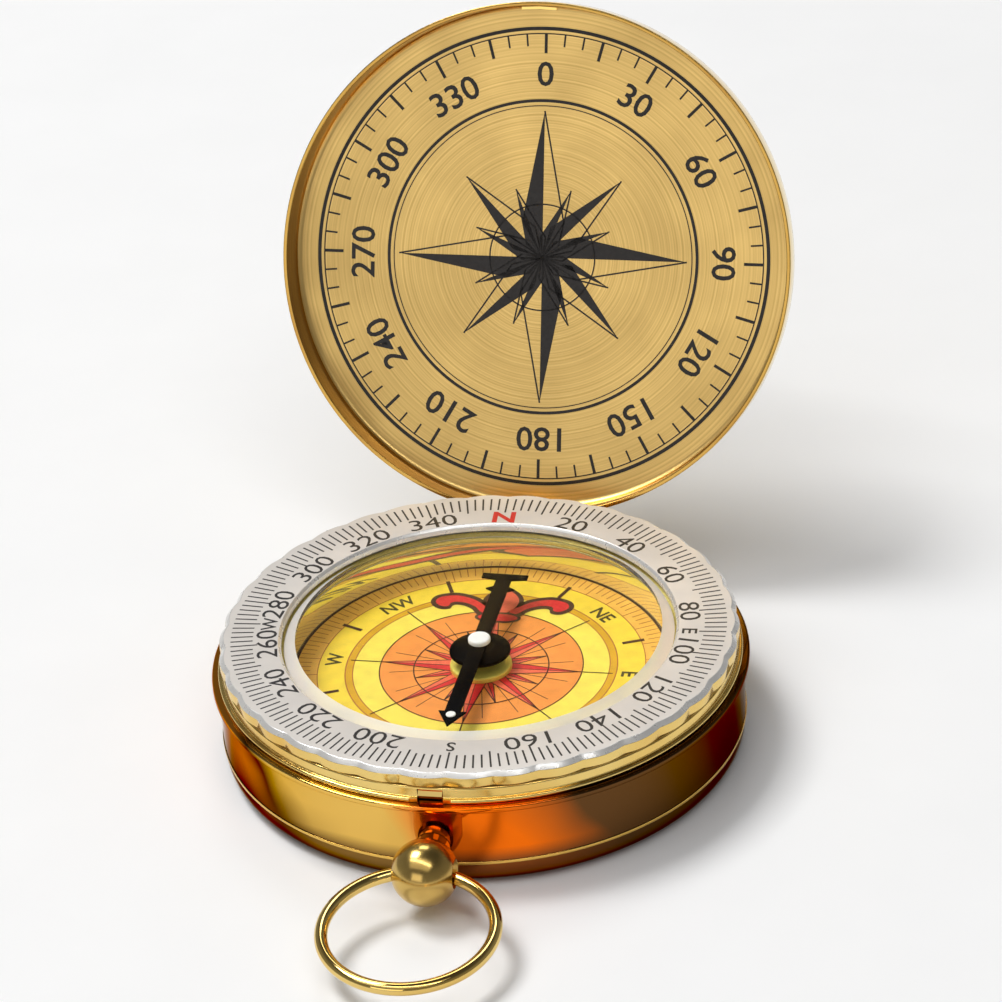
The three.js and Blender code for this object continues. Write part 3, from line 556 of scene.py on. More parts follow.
def at_bearing(bearing, radius, height):
    """Placement at a bearing, with its own +Y outwards."""
    return bearing_turn(bearing) @ Matrix.Translation((0.0, radius, height))


def add_mark(bm, bearing, inner, outer, width, height):
    """Straight radial mark."""
    size = Matrix.Diagonal((width, outer - inner, FILM, 1.0))
    bmesh.ops.create_cube(bm, size=1.0, matrix=at_bearing(bearing, (inner + outer) / 2.0, height) @ size)


def add_slab(bm, points, low, high, place=Matrix()):
    """Flat polygon with upright sides."""
    corners = [bm.verts.new(place @ Vector((x, y, low))) for x, y in points]
    raised = bmesh.ops.extrude_face_region(bm, geom=[bm.faces.new(corners)])
    top = [item for item in raised["geom"] if isinstance(item, bmesh.types.BMVert)]
    bmesh.ops.translate(bm, verts=top, vec=(0.0, 0.0, high - low))


def add_polygon(bm, points, height, place):
    """Printed polygon."""
    add_slab(bm, points, height, height + FILM, place)


def add_line(bm, start, end, width, height, place):
    """Straight line between two points of a placement."""
    start = Vector(start)
    end = Vector(end)
    along = (end - start).normalized()
    aside = Vector((-along.y, along.x)) * (width / 2.0)
    add_polygon(bm, [start - aside, end - aside, end + aside, start + aside], height, place)


def add_circle(bm, radius, width, height):
    """Ring line."""
    half = width / 2.0
    append(bm, rod(radius + half, height, height + FILM, bore=radius - half, steps=TURN_STEPS))


def curve_mesh(curve):
    """Mesh of a flat curve, which is dropped."""
    made = bpy.data.objects.new(curve.name, curve)
    bpy.context.scene.collection.objects.link(made)
    depsgraph = bpy.context.evaluated_depsgraph_get()
    mesh = bpy.data.meshes.new_from_object(made.evaluated_get(depsgraph))
    bpy.data.objects.remove(made)
    bpy.data.curves.remove(curve)
    return mesh


def add_text(bm, text, height, place, stretch=1.0, weight=0.0):
    """Lettering of a given height about the middle of a placement. Weight thickens its strokes."""
    curve = bpy.data.curves.new("lettering", "FONT")
    curve.body = text
    curve.size = height
    curve.extrude = FILM / 2.0
    curve.offset = weight * height
    curve.resolution_u = 3
    mesh = curve_mesh(curve)
    xs = [vertex.co.x for vertex in mesh.vertices]
    ys = [vertex.co.y for vertex in mesh.vertices]
    middle = Matrix.Translation((-(min(xs) + max(xs)) / 2.0, -(min(ys) + max(ys)) / 2.0, 0.0))
    grow = height / (max(ys) - min(ys))
    mesh.transform(place @ Matrix.Diagonal((grow * stretch, grow, 1.0, 1.0)) @ middle)
    take_up(bm, mesh)


def add_blade(bm, points, height, side=1.0):
    """Shape with a smooth outline through a few points in millimetres. Side -1 mirrors it."""
    curve = bpy.data.curves.new("outline", "CURVE")
    curve.dimensions = "2D"
    curve.fill_mode = "BOTH"
    curve.extrude = FILM / 2.0
    curve.resolution_u = 6
    spline = curve.splines.new("BEZIER")
    spline.use_cyclic_u = True
    spline.bezier_points.add(len(points) - 1)
    for knot, point in zip(spline.bezier_points, points):
        knot.co = (side * point[0] * MM, point[1] * MM, 0.0)
        kind = "VECTOR" if len(point) > 2 else "AUTO"
        knot.handle_left_type = kind
        knot.handle_right_type = kind
    mesh = curve_mesh(curve)
    mesh.transform(Matrix.Translation((0.0, 0.0, height)))
    take_up(bm, mesh)


def grown_outline(points, amount):
    """Outline with each point pushed outwards."""
    grown = []
    for index, point in enumerate(points):
        before = Vector(points[index - 1][:2])
        after = Vector(points[(index + 1) % len(points)][:2])
        along = (after - before).normalized()
        grown.append((point[0] - along.y * amount, point[1] + along.x * amount, *point[2:]))
    return grown


def star_halves(reach, waist, half_width):
    """Left and right half of a star's point that lies along +Y."""
    left = [(0.0, 0.0), (0.0, reach), (-half_width, waist)]
    right = [(0.0, 0.0), (half_width, waist), (0.0, reach)]
    return left, right


# Node helpers

# Sockets of a colour mix, whose names aren't unique
MIX_SHARE = 0
MIX_FIRST = 6
MIX_SECOND = 7
MIX_RESULT = 2


def feed(tree, sockets, values):
    """Gives sockets their values, tones or other nodes' outputs."""
    for name, value in values.items():
        socket = sockets[name]
        if isinstance(value, NodeSocket):
            tree.links.new(value, socket)
        elif socket.type == "RGBA":
            socket.default_value = (*value, 1.0)
        else:
            socket.default_value = value


def add_node(tree, kind, values, **settings):
    """Node with its settings, and with values on its sockets."""
    made = tree.nodes.new("ShaderNode" + kind)
    for name, value in settings.items():
        setattr(made, name, value)
    feed(tree, made.inputs, values)
    return made


def object_place(tree):
    """Object coordinates."""
    return add_node(tree, "TexCoord", {}).outputs["Object"]


def add_noise(tree, place, scale, detail):
    """Noise of a given scale, per metre."""
    noise = add_node(tree, "TexNoise", {"Vector": place, "Scale": scale, "Detail": detail})
    return noise.outputs["Fac"]


def add_rings(tree, reach, scale, detail):
    """Noise that changes with a distance only."""
    values = {"W": reach, "Scale": scale, "Detail": detail}
    return add_node(tree, "TexNoise", values, noise_dimensions="1D").outputs["Fac"]


def add_mix(tree, share, first, second):
    """Blend of two colours, each a tone or another node's output."""
    values = {MIX_SHARE: share, MIX_FIRST: first, MIX_SECOND: second}
    return add_node(tree, "Mix", values, data_type="RGBA").outputs[MIX_RESULT]


def add_range(tree, value, goal=(0.0, 1.0), spread=(0.3, 0.7)):
    """Value mapped from its spread, by default that of a noise, to another range."""
    values = {
        "Value": value,
        "From Min": spread[0],
        "From Max": spread[1],
        "To Min": goal[0],
        "To Max": goal[1],
    }
    return add_node(tree, "MapRange", values).outputs["Result"]


def add_math(tree, operation, first, second):
    """Sum, product or greater of two values."""
    return add_node(tree, "Math", {0: first, 1: second}, operation=operation).outputs["Value"]


def add_ramp(tree, share, stops, interpolation="LINEAR"):
    """Tones along a share, each at its stop."""
    ramp = add_node(tree, "ValToRGB", {"Fac": share})
    ramp.color_ramp.interpolation = interpolation
    elements = ramp.color_ramp.elements
    while len(elements) < len(stops):
        elements.new(1.0)
    for element, (stop, tone) in zip(elements, stops):
        element.position = stop
        element.color = (*tone, 1.0)
    return ramp.outputs["Color"]


def add_parts(tree, place):
    """The three coordinates of a place."""
    return add_node(tree, "SeparateXYZ", {"Vector": place}).outputs


def add_reach(tree, place):
    """Distance from the Z axis."""
    flat = add_node(tree, "VectorMath", {0: place, 1: (1.0, 1.0, 0.0)}, operation="MULTIPLY")
    return add_node(tree, "VectorMath", {0: flat.outputs["Vector"]}, operation="LENGTH").outputs["Value"]


def add_bump(tree, height, depth, strength):
    """Bumped normal from a height."""
    values = {"Height": height, "Distance": depth, "Strength": strength}
    return add_node(tree, "Bump", values).outputs["Normal"]


# Materials


def new_material(name):
    """New material and its tree."""
    material = bpy.data.materials.new(name)
    material.use_nodes = True
    return material, material.node_tree


def shade(tree, values):
    """Sets sockets of a material's shader."""
    feed(tree, tree.nodes["Principled BSDF"].inputs, values)


def darker(tone, share):
    """Share of a tone's light."""
    return tuple(share * part for part in tone)


def polish(tree, place, gloss):
    """Polished metal: smudges in the gloss and faint hairlines."""
    smudges = add_noise(tree, place, scale=420.0, detail=5.0)
    hairlines = add_noise(tree, place, scale=2600.0, detail=2.0)
    normal = add_bump(tree, hairlines, depth=0.002 * MM, strength=0.25)
    shade(tree, {"Roughness": add_range(tree, smudges, gloss), "Metallic": 1.0, "Normal": normal})


# Brasses by name: bright tone, dulled tone, and least and most roughness
BRASSES = {
    "lacquered_brass": ("brass", "brass_dark", (0.04, 0.09)),
    "dulled_brass": ("brass", "brass_dark", (0.12, 0.22)),
    "bead_brass": ("gold_brass", "lip_brass", (0.06, 0.14)),
    # Painted shade of the lid's lip and inner wall, with tarnish clouds
    "lip_brass": ("lip_brass", "lip_brass_dark", (0.10, 0.20)),
    "worn_brass": ("worn_brass", "lip_brass_dark", (0.17, 0.26)),
    "mirror_brass": ("mirror", "mirror_dark", (0.02, 0.05)),
}


def brass(settings, name):
    """One of the polished brasses, with tarnish clouds. It is made on first use."""
    found = bpy.data.materials.get(name)
    if found:
        return found
    bright, dulled, gloss = BRASSES[name]
    tones = (getattr(settings.finishes, tone) for tone in (bright, dulled))
    material, tree = new_material(name)
    place = object_place(tree)
    clouds = add_range(tree, add_noise(tree, place, scale=90.0, detail=4.0), spread=(0.45, 0.8))
    shade(tree, {"Base Color": add_mix(tree, clouds, *tones)})
    polish(tree, place, gloss)
    return material


def tarnished_brass(finishes, radius, foot, height):
    """Polished brass of the case with painted reflections and painted shade: its front is coppery, then
    painted dark brown towards the sides, and painted shade darkens the foot and the lower left end. The
    back fades to plain brass.
    """
    material, tree = new_material("case_brass")
    place = object_place(tree)
    parts = add_parts(tree, place)
    across = add_range(tree, parts["X"], spread=(-radius, radius))
    lean = add_range(tree, parts["Z"], goal=(-0.08, 0.0), spread=(0.0, height))
    drift = add_range(tree, add_noise(tree, place, scale=60.0, detail=2.0), goal=(-0.06, 0.06))
    share = add_math(tree, "ADD", add_math(tree, "ADD", across, drift), lean)
    # Painted reflections: bands of amber, painted dark brown, gold and copper across the case from left to
    # right, shifted by noise and leaning with height
    painted_reflections = add_ramp(
        tree,
        share,
        (
            (0.0, finishes.amber_brass),
            (0.05, finishes.amber_brass),
            (0.12, finishes.bronze),
            (0.20, finishes.gold_brass),
            (0.38, finishes.gold_brass),
            (0.48, finishes.copper),
            (0.66, finishes.copper),
            (0.78, finishes.bronze),
        ),
    )
    # Painted shade: the case darkens below its foot's bead and just above it, and at its lower left end
    low = add_range(tree, parts["Z"], goal=(0.85, 0.0), spread=(foot, 1.5 * foot))
    end = add_range(tree, across, goal=(1.0, 0.0), spread=(0.12, 0.34))
    rise = add_range(tree, parts["Z"], goal=(1.0, 0.0), spread=(foot, 2.2 * foot))
    shadow = add_math(tree, "MAXIMUM", low, add_math(tree, "MULTIPLY", end, rise))
    reflections_and_shade = add_mix(tree, shadow, painted_reflections, finishes.bronze)
    # Keeps the painted reflections and painted shade on the front; the back stays plain brass
    behind = add_range(tree, parts["Y"], spread=(0.2 * radius, 0.85 * radius))
    tint = add_mix(tree, behind, reflections_and_shade, finishes.gold_brass)
    shade(tree, {"Base Color": tint, "Specular Tint": finishes.grazing})
    polish(tree, place, gloss=(0.03, 0.08))
    return material


def turned_brass(finishes, face):
    """Brass faced on a lathe: fine rings about the lid's axis."""
    material, tree = new_material("turned_brass")
    shut = OPENED.inverted().translation - Vector((0.0, 0.0, face))
    values = {"Vector": object_place(tree), "Location": shut, "Rotation": (LID_OPEN, 0.0, 0.0)}
    place = add_node(tree, "Mapping", values).outputs["Vector"]
    reach = add_reach(tree, place)
    rings = add_rings(tree, reach, scale=5200.0, detail=2.0)
    broad = add_rings(tree, reach, scale=700.0, detail=3.0)
    clouds = add_noise(tree, place, scale=120.0, detail=4.0)
    tint = add_mix(tree, add_range(tree, rings), finishes.lid_brass, finishes.lid_brass_dark)
    normal = add_bump(tree, add_math(tree, "ADD", rings, broad), depth=0.02 * MM, strength=0.35)
    rough = add_range(tree, clouds, goal=(0.30, 0.42))
    shade(tree, {"Base Color": tint, "Roughness": rough, "Metallic": 1.0, "Normal": normal})
    return material


def worn(tree, wear, tone, share, gloss, metallic=0.0):
    """Tone that darkens to a share of its light, and a gloss, both uneven with the same wear."""
    tint = add_mix(tree, add_range(tree, wear), tone, darker(tone, share))
    shade(tree, {"Base Color": tint, "Roughness": add_range(tree, wear, gloss), "Metallic": metallic})


def satin_silver(finishes):
    """Blasted and plated metal with a fine even grain."""
    material, tree = new_material("satin_silver")
    place = object_place(tree)
    clouds = add_noise(tree, place, scale=160.0, detail=4.0)
    worn(tree, clouds, finishes.silver, share=0.86, gloss=(0.36, 0.46), metallic=0.25)
    grain = add_noise(tree, place, scale=9000.0, detail=2.0)
    shade(tree, {"Normal": add_bump(tree, grain, depth=0.01 * MM, strength=0.5)})
    return material


def bright_silver(finishes):
    """Diamond cut edge of the bezel."""
    material, tree = new_material("bright_silver")
    scuffs = add_noise(tree, object_place(tree), scale=900.0, detail=4.0)
    worn(tree, scuffs, finishes.bright_silver, share=0.85, gloss=(0.24, 0.36), metallic=0.55)
    return material


def drawn_steel(finishes):
    """Drawn steel with grain along X."""
    material, tree = new_material("drawn_steel")
    values = {"Vector": object_place(tree), "Scale": (0.1, 1.0, 1.0)}
    stretched = add_node(tree, "Mapping", values).outputs["Vector"]
    grain = add_noise(tree, stretched, scale=6000.0, detail=3.0)
    worn(tree, grain, finishes.steel, share=0.7, gloss=(0.22, 0.36), metallic=1.0)
    return material


def matt_stuff(name, tone, gloss, scale, depth, share=0.85, metallic=0.0):
    """Paint, ink, rubber or plastic with a fine grain and a slight change of shade."""
    material, tree = new_material(name)
    grain = add_noise(tree, object_place(tree), scale, detail=3.0)
    worn(tree, grain, tone, share, gloss, metallic)
    shade(tree, {"Normal": add_bump(tree, grain, depth, strength=0.3)})
    return material


def ink(name, tone):
    """Printing ink, made on first use."""
    found = bpy.data.materials.get(name)
    return found or matt_stuff(name, tone, gloss=(0.35, 0.5), scale=3000.0, depth=0.002 * MM)


def dial_print(finishes, sizes):
    """Printed card: rings of flat colour with a slight unevenness of the ink."""
    material, tree = new_material("dial_print")
    place = object_place(tree)
    bands = (
        (0.0, finishes.orange),
        (sizes.star_radius, finishes.pale),
        (sizes.pale_radius, finishes.gold),
        (sizes.gold_radius, finishes.yellow),
        (sizes.letter_radius, finishes.amber),
        (sizes.tick_radius, finishes.umber),
    )
    share = add_range(tree, add_reach(tree, place), spread=(0.0, sizes.radius))
    rings = add_ramp(tree, share, [(start / sizes.radius, tone) for start, tone in bands], "CONSTANT")
    mottle = add_noise(tree, place, scale=700.0, detail=4.0)
    values = {"Color": rings, "Value": add_range(tree, mottle, goal=(0.9, 1.06))}
    tint = add_node(tree, "HueSaturation", values).outputs["Color"]
    shade(tree, {"Base Color": tint, "Roughness": add_range(tree, mottle, goal=(0.38, 0.52))})
    return material


def crystal_glass(finishes):
    """Clear glass that lets the lamps through to the dial."""
    material, tree = new_material("crystal_glass")
    smears = add_noise(tree, object_place(tree), scale=260.0, detail=4.0)
    rough = add_range(tree, smears, goal=(0.0, 0.02))
    shade(tree, {"Base Color": finishes.glass, "Roughness": rough, "Transmission Weight": 1.0, "IOR": 1.1})
    lamp_ray = add_node(tree, "LightPath", {}).outputs["Is Shadow Ray"]
    glass = tree.nodes["Principled BSDF"].outputs["BSDF"]
    clear = add_node(tree, "BsdfTransparent", {}).outputs["BSDF"]
    mix = add_node(tree, "MixShader", {"Fac": lamp_ray, 1: glass, 2: clear})
    feed(tree, tree.nodes["Material Output"].inputs, {"Surface": mix.outputs["Shader"]})
    return material


def ground_glass(finishes):
    """Milky bevel of the crystal, whose ground white is partly a painted reflection that stands in for a
    glare.
    """
    material, tree = new_material("ground_glass")
    grain = add_noise(tree, object_place(tree), scale=5000.0, detail=3.0)
    tint = add_mix(tree, grain, finishes.ground_dark, finishes.ground)
    rough = add_range(tree, grain, goal=(0.30, 0.42))
    normal = add_bump(tree, grain, depth=0.004 * MM, strength=0.4)
    shade(tree, {"Base Color": tint, "Roughness": rough, "Normal": normal})
    shade(tree, {"Transmission Weight": 0.35, "IOR": 1.5})
    return material


# Case and hinge


def barrel(radius, start, end, edge=0.0, bore=0.0):
    """Cylinder or tube about the hinge pin."""
    return placed(rod(radius, start, end, edge, bore), ALONG_HINGE)


def hinge_room(sizes):
    """Room for the hinge's knuckles."""
    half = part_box("case_hinge_leaf")[1].x + sizes.knuckle_gap
    return barrel(sizes.knuckle + sizes.knuckle_gap, -half, half)


def make_cup(settings):
    """Cup with the bead round its foot, cut for the sleeve, the catch and the hinge."""
    sizes = settings.case
    button = settings.button
    flange_radius, _, flange_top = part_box("case_body")[1]
    flange_foot = flange_top - sizes.flange
    foot_radius = sizes.radius + sizes.foot_rise
    foot_top = sizes.foot + sizes.foot_bead
    cup = turned(
        [
            (0.0, 0.0),
            (sizes.radius, 0.0, sizes.edge),
            (sizes.radius, sizes.foot),
            (foot_radius, sizes.foot, sizes.foot_rise),
            (foot_radius, foot_top, sizes.foot_rise),
            (sizes.radius, foot_top),
            (sizes.radius, flange_foot, FINE_EDGE),
            (flange_radius, flange_foot, ROUND_EDGE),
            (flange_radius, flange_top, ROUND_EDGE),
            (sizes.bore, flange_top),
            (sizes.bore, sizes.base, sizes.base / 2.0),
            (0.0, sizes.base),
        ]
    )
    sleeve_hole = rod(button.sleeve + SEAT_GAP, button.sleeve_start - RUN_GAP, button.sleeve_end)
    hook_low, hook_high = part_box("catch_hook")
    slot_low = Vector((hook_low.x, sizes.catch_wall - sizes.radius, hook_low.z))
    slot = boxed(slot_low - RUN_ROOM, hook_high + RUN_ROOM)
    cup = carved(cup, placed(sleeve_hole, ALONG_STEM), slot, hinge_room(sizes))

    def on_bead(middle, _):
        """Whether a face is on the foot's bead."""
        return sizes.foot < middle.z < foot_top and sizes.radius < middle.xy.length < foot_radius

    paint(cup, 1, on_bead)
    warm = tarnished_brass(settings.finishes, sizes.radius, foot_top, flange_foot)
    bead = brass(settings, "bead_brass")
    add_piece("case_cup", cup, "case", "polished_brass", warm, bead, replaced="case_body")


def make_bezel_bed(settings):
    """Ring that carries the bezel, cut for the catch, the lid's lip and the hinge."""
    sizes = settings.case
    low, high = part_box("bezel_seat")
    bead_top = high.z - sizes.band_height
    bead_foot = bead_top - sizes.bead_height
    wire_low, wire_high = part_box("bezel_snap_wire")
    groove_low = wire_low.z - RUN_GAP
    groove_high = wire_high.z + RUN_GAP
    groove = sizes.seat_bore + sizes.wire_groove
    spigot = sizes.bore - SEAT_GAP
    ring = turned(
        [
            (sizes.seat_bore, low.z),
            (spigot, low.z),
            (spigot, bead_foot),
            (high.x, bead_foot, ROUND_EDGE),
            (high.x, bead_top, ROUND_EDGE),
            (sizes.band_radius, bead_top, FINE_EDGE),
            (sizes.band_radius, high.z, ROUND_EDGE),
            (sizes.seat_bore, high.z),
            (sizes.seat_bore, groove_high),
            (groove, groove_high),
            (groove, groove_low),
            (sizes.seat_bore, groove_low),
        ]
    )
    hook_low, hook_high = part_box("catch_hook")
    close_room = RUN_ROOM / 3.0
    travel = Vector((0.0, BUTTON_TRAVEL, 0.0))
    catch_room = boxed(hook_low - close_room, hook_high + close_room + travel)
    lip_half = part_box("lid_catch_lip")[1].x + RUN_GAP
    outside = -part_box("case_body")[1].x
    lip_room = boxed(
        (-lip_half, outside, bead_foot - RUN_GAP), (lip_half, hook_low.y, bead_top + RUN_GAP)
    )
    ring = carved(ring, catch_room, lip_room, hinge_room(sizes))
    dulled = brass(settings, "dulled_brass")
    add_piece("bezel_bed", ring, "case", "polished_brass", dulled, replaced="bezel_seat")


class COMPASS_OT_case(Operator):
    """Make the cup and the ring that carries the bezel"""

    bl_idname = "compass.case"
    bl_label = "Case"

    def execute(self, context):
        make_cup(context.scene.compass)
        make_bezel_bed(context.scene.compass)
        return {"FINISHED"}


def hinge_leaf(inner, outer, low, high, half_width):
    """Leaf of the hinge, bent round the case."""
    return swept(
        [(inner, low), (outer, low, FINE_EDGE), (outer, high, FINE_EDGE), (inner, high)], half_width
    )


def pin_radius():
    """Radius of the hinge pin."""
    low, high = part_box("hinge_pin")
    return (high.z - low.z) / 2.0


def make_case_hinge(settings):
    """Leaf on the case with its two knuckles."""
    sizes = settings.case
    low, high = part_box("case_hinge_leaf")
    inner = sizes.radius + SEAT_GAP
    outer = inner + sizes.leaf
    leaf_top = HINGE.z - sizes.knuckle / 2.0
    parts = [hinge_leaf(inner, outer, low.z, leaf_top, high.x)]
    for side in (-1.0, 1.0):
        start, end = sorted((side * (sizes.lid_knuckle + 2.0 * SEAT_GAP), side * high.x))
        parts.append(barrel(sizes.knuckle, start, end, FINE_EDGE, pin_radius() + SEAT_GAP))
        web_low = (start, outer - sizes.web, leaf_top - sizes.web_drop)
        parts.append(boxed(web_low, (end, outer, HINGE.z - pin_radius()), FINE_EDGE / 2.0))
    plain = brass(settings, "lacquered_brass")
    whole = joined(*parts)
    add_piece("hinge_case_half", whole, "case", "polished_brass", plain, replaced="case_hinge_leaf")


def make_lid_hinge(settings):
    """Leaf on the lid with its middle knuckle."""
    sizes = settings.case
    half = sizes.lid_knuckle
    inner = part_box("case_body")[1].x + SEAT_GAP
    foot = HINGE.z + sizes.knuckle + sizes.knuckle_gap
    leaf = hinge_leaf(inner, inner + sizes.leaf, foot, foot + sizes.lid_leaf, sizes.lid_leaf_half)
    knuckle = barrel(sizes.knuckle, -half, half, FINE_EDGE, pin_radius() + 2.0 * SEAT_GAP)
    web_low = (-half, inner, HINGE.z + pin_radius() + SEAT_GAP)
    web = boxed(web_low, (half, inner + sizes.web, foot + sizes.leaf), FINE_EDGE / 2.0)
    plain = brass(settings, "lacquered_brass")
    whole = placed(joined(leaf, knuckle, web), OPENED)
    add_piece("hinge_lid_half", whole, "lid", "polished_brass", plain, replaced="lid_hinge_leaf")


class COMPASS_OT_hinge(Operator):
    """Make the two leaves of the hinge with their knuckles"""

    bl_idname = "compass.hinge"
    bl_label = "Hinge"

    def execute(self, context):
        make_case_hinge(context.scene.compass)
        make_lid_hinge(context.scene.compass)
        return {"FINISHED"}


# Dial and crystal


def make_paper(settings):
    """Printed card."""
    low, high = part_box("dial_card")
    card = rod(high.x, low.z, high.z, steps=TURN_STEPS)
    paper = dial_print(settings.finishes, settings.dial)
    add_piece("dial_paper", card, "case", "dial_print", paper, replaced="dial_card")


def make_reflector(settings):
    """Polished ring round the dial."""
    sizes = settings.dial
    low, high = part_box("reflector_ring")
    outer = sizes.radius + sizes.reflector_wall
    foot = low.z + sizes.reflector_foot
    ring = turned(
        [
            (sizes.radius, low.z),
            (high.x, low.z),
            (high.x, foot),
            (outer, foot),
            (outer, high.z),
            (sizes.radius + sizes.reflector_taper, high.z, TRIM_EDGE),
        ]
    )
    mirror = brass(settings, "mirror_brass")
    shade(mirror.node_tree, {"Metallic": 0.8})
    add_piece("reflector_wall", ring, "case", "polished_brass", mirror, replaced="reflector_ring")


def make_pivot_boss(settings):
    """Gilt boss under the needle."""
    sizes = settings.dial
    low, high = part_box("pivot_base")
    shoulder = low.z + sizes.boss_shoulder
    boss = turned(
        [
            (sizes.boss_bore, low.z),
            (high.x, low.z),
            (high.x, shoulder, ROUND_EDGE),
            (sizes.boss_neck, shoulder + sizes.boss_rise, SOFT_EDGE),
            (sizes.boss_top, high.z, FINE_EDGE),
            (sizes.boss_bore, high.z),
        ],
        SMALL_STEPS,
    )
    gilt = settings.finishes.gilt
    gilding = matt_stuff(
        "satin_gilt", gilt, gloss=(0.30, 0.42), scale=900.0, depth=0.003 * MM, metallic=0.35
    )
    add_piece("pivot_boss", boss, "case", "polished_brass", gilding, replaced="pivot_base")


class COMPASS_OT_dial(Operator):
    """Make the printed card, the reflector round it and the boss of the pivot"""

    bl_idname = "compass.dial"
    bl_label = "Dial"

    def execute(self, context):
        make_paper(context.scene.compass)
        make_reflector(context.scene.compass)
        make_pivot_boss(context.scene.compass)
        return {"FINISHED"}


def print_level(layer):
    """Height of a layer of print on the dial."""
    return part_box("dial_card")[1].z + (1 + 2 * layer) * FILM


def print_dial(name, bm, ink_name, tone):
    """Finishes a mesh as print on the dial."""
    add_piece(name, bm, "case", "dial_print", ink(ink_name, tone))


def print_star(settings):
    """Sixteen-pointed star with its outlines, and the lines and marks round it."""
    sizes = settings.dial
    first, second, third = (print_level(layer) for layer in range(3))
    half_widths = (0.95 * MM, 0.55 * MM, 0.8 * MM, 0.55 * MM)  # of four points in turn
    tip_back = 0.2 * MM
    faint_back = 0.9 * MM
    past_ring = 0.4 * MM
    past_letters = 0.3 * MM
    waist = (0.0, sizes.star_waist)
    red = bmesh.new()
    coral = bmesh.new()
    lines = bmesh.new()
    for wind in range(WINDS):
        place = wind_turn(wind)
        main = wind % 2 == 0
        level = second if main else first
        reach = sizes.star_radius - tip_back if main else sizes.inner_circle
        half_width = half_widths[wind % 4]
        left, right = star_halves(reach, sizes.star_waist, half_width)
        add_polygon(red, left, level, place)
        add_polygon(coral, right, level, place)
        tip = (0.0, reach)
        for side in (-half_width, half_width):
            add_line(lines, (side, sizes.star_waist), tip, sizes.line, level + FILM, place)
        add_line(lines, waist, tip, sizes.hair_line, level + FILM, place)
        if main:
            add_line(lines, tip, (0.0, sizes.pale_radius + past_ring), sizes.bold_line, third, place)
        faint_end = (0.0, sizes.star_radius - faint_back)
        add_line(lines, waist, faint_end, sizes.faint_line, first, wind_turn(wind + 0.5))
        if wind % 2 == 1:
            bearing = wind * 360.0 / WINDS
            mark_end = sizes.letter_radius + past_letters
            add_mark(lines, bearing, sizes.wind_mark_start, mark_end, sizes.wind_mark, third)
    add_circle(lines, sizes.inner_circle, sizes.bold_line, third)
    add_circle(lines, sizes.star_radius, sizes.line, third)
    finishes = settings.finishes
    print_dial("dial_star_red", red, "star_red", finishes.red)
    print_dial("dial_star_coral", coral, "star_coral", finishes.coral)
    print_dial("dial_lines", lines, "dial_umber", finishes.umber)


def print_scale(settings):
    """Ticks and ring lines."""
    sizes = settings.dial
    height = print_level(0)
    scale = bmesh.new()
    tick_count = 144
    for tick in range(tick_count):
        start = sizes.letter_radius if tick % 4 == 0 else sizes.letter_radius + sizes.short_tick
        add_mark(scale, 360.0 * tick / tick_count, start, sizes.tick_radius, sizes.line, height)
    add_circle(scale, sizes.letter_radius, sizes.line, height)
    add_circle(scale, sizes.gold_radius, sizes.bold_line, height)
    add_circle(scale, sizes.pale_radius, sizes.line, height)
    finishes = settings.finishes
    rust = tuple((dark + light) / 2.0 for dark, light in zip(finishes.umber, finishes.orange))
    print_dial("dial_scale", scale, "dial_rust", rust)


def print_letters(settings):
    """Letters of the winds, apart from north."""
    sizes = settings.dial
    letters = bmesh.new()
    for wind, text in enumerate(("NE", "E", "SE", "S", "SW", "W", "NW"), 1):
        place = at_bearing(45.0 * wind, sizes.letter_middle, print_level(1))
        add_text(letters, text, sizes.letter_size, place, stretch=0.95, weight=0.02)
    print_dial("dial_letters", letters, "olive_ink", settings.finishes.olive)


# Outlines of the lily, in millimetres
LILY_CURL = [
    (1.0, 9.3),
    (1.9, 10.7),
    (3.6, 11.8),
    (5.3, 11.9),
    (6.4, 11.1),
    (6.0, 10.2),
    (5.1, 10.1),
    (4.9, 10.7),
    (4.0, 10.9),
    (2.6, 10.3),
    (1.5, 9.2),
]
LILY_PETAL = [
    (0.0, 13.6, "corner"),
    (1.3, 12.2),
    (1.5, 11.0),
    (0.7, 9.4),
    (0.0, 9.0),
    (-0.7, 9.4),
    (-1.5, 11.0),
    (-1.3, 12.2),
]
LILY_BAND = [
    (0.0, 9.1),
    (1.5, 8.9),
    (1.9, 8.5),
    (1.5, 8.1),
    (0.0, 7.9),
    (-1.5, 8.1),
    (-1.9, 8.5),
    (-1.5, 8.9),
]


def print_lily(settings):
    """Lily at north: curls and band in red, petal in coral, and a dark outline under each."""
    outline_level = print_level(2)
    level = print_level(3)
    red = bmesh.new()
    coral = bmesh.new()
    outline = bmesh.new()
    for side in (1.0, -1.0):
        add_blade(red, LILY_CURL, level, side)
        add_blade(outline, grown_outline(LILY_CURL, amount=0.5), outline_level, side)
    add_blade(coral, LILY_PETAL, level)
    add_blade(outline, grown_outline(LILY_PETAL, amount=0.45), outline_level)
    add_blade(red, LILY_BAND, level + 2.0 * FILM)
    add_blade(outline, grown_outline(LILY_BAND, amount=0.3), level + FILM)
    finishes = settings.finishes
    print_dial("dial_lily_red", red, "star_red", finishes.red)
    print_dial("dial_lily_petal", coral, "star_coral", finishes.coral)
    print_dial("dial_lily_outline", outline, "dial_umber", finishes.umber)


class COMPASS_OT_dial_artwork(Operator):
    """Print the star, the lily, the letters and the scales on the dial"""

    bl_idname = "compass.dial_artwork"
    bl_label = "Dial artwork"

    def execute(self, context):
        settings = context.scene.compass
        print_star(settings)
        print_scale(settings)
        print_letters(settings)
        print_lily(settings)
        return {"FINISHED"}


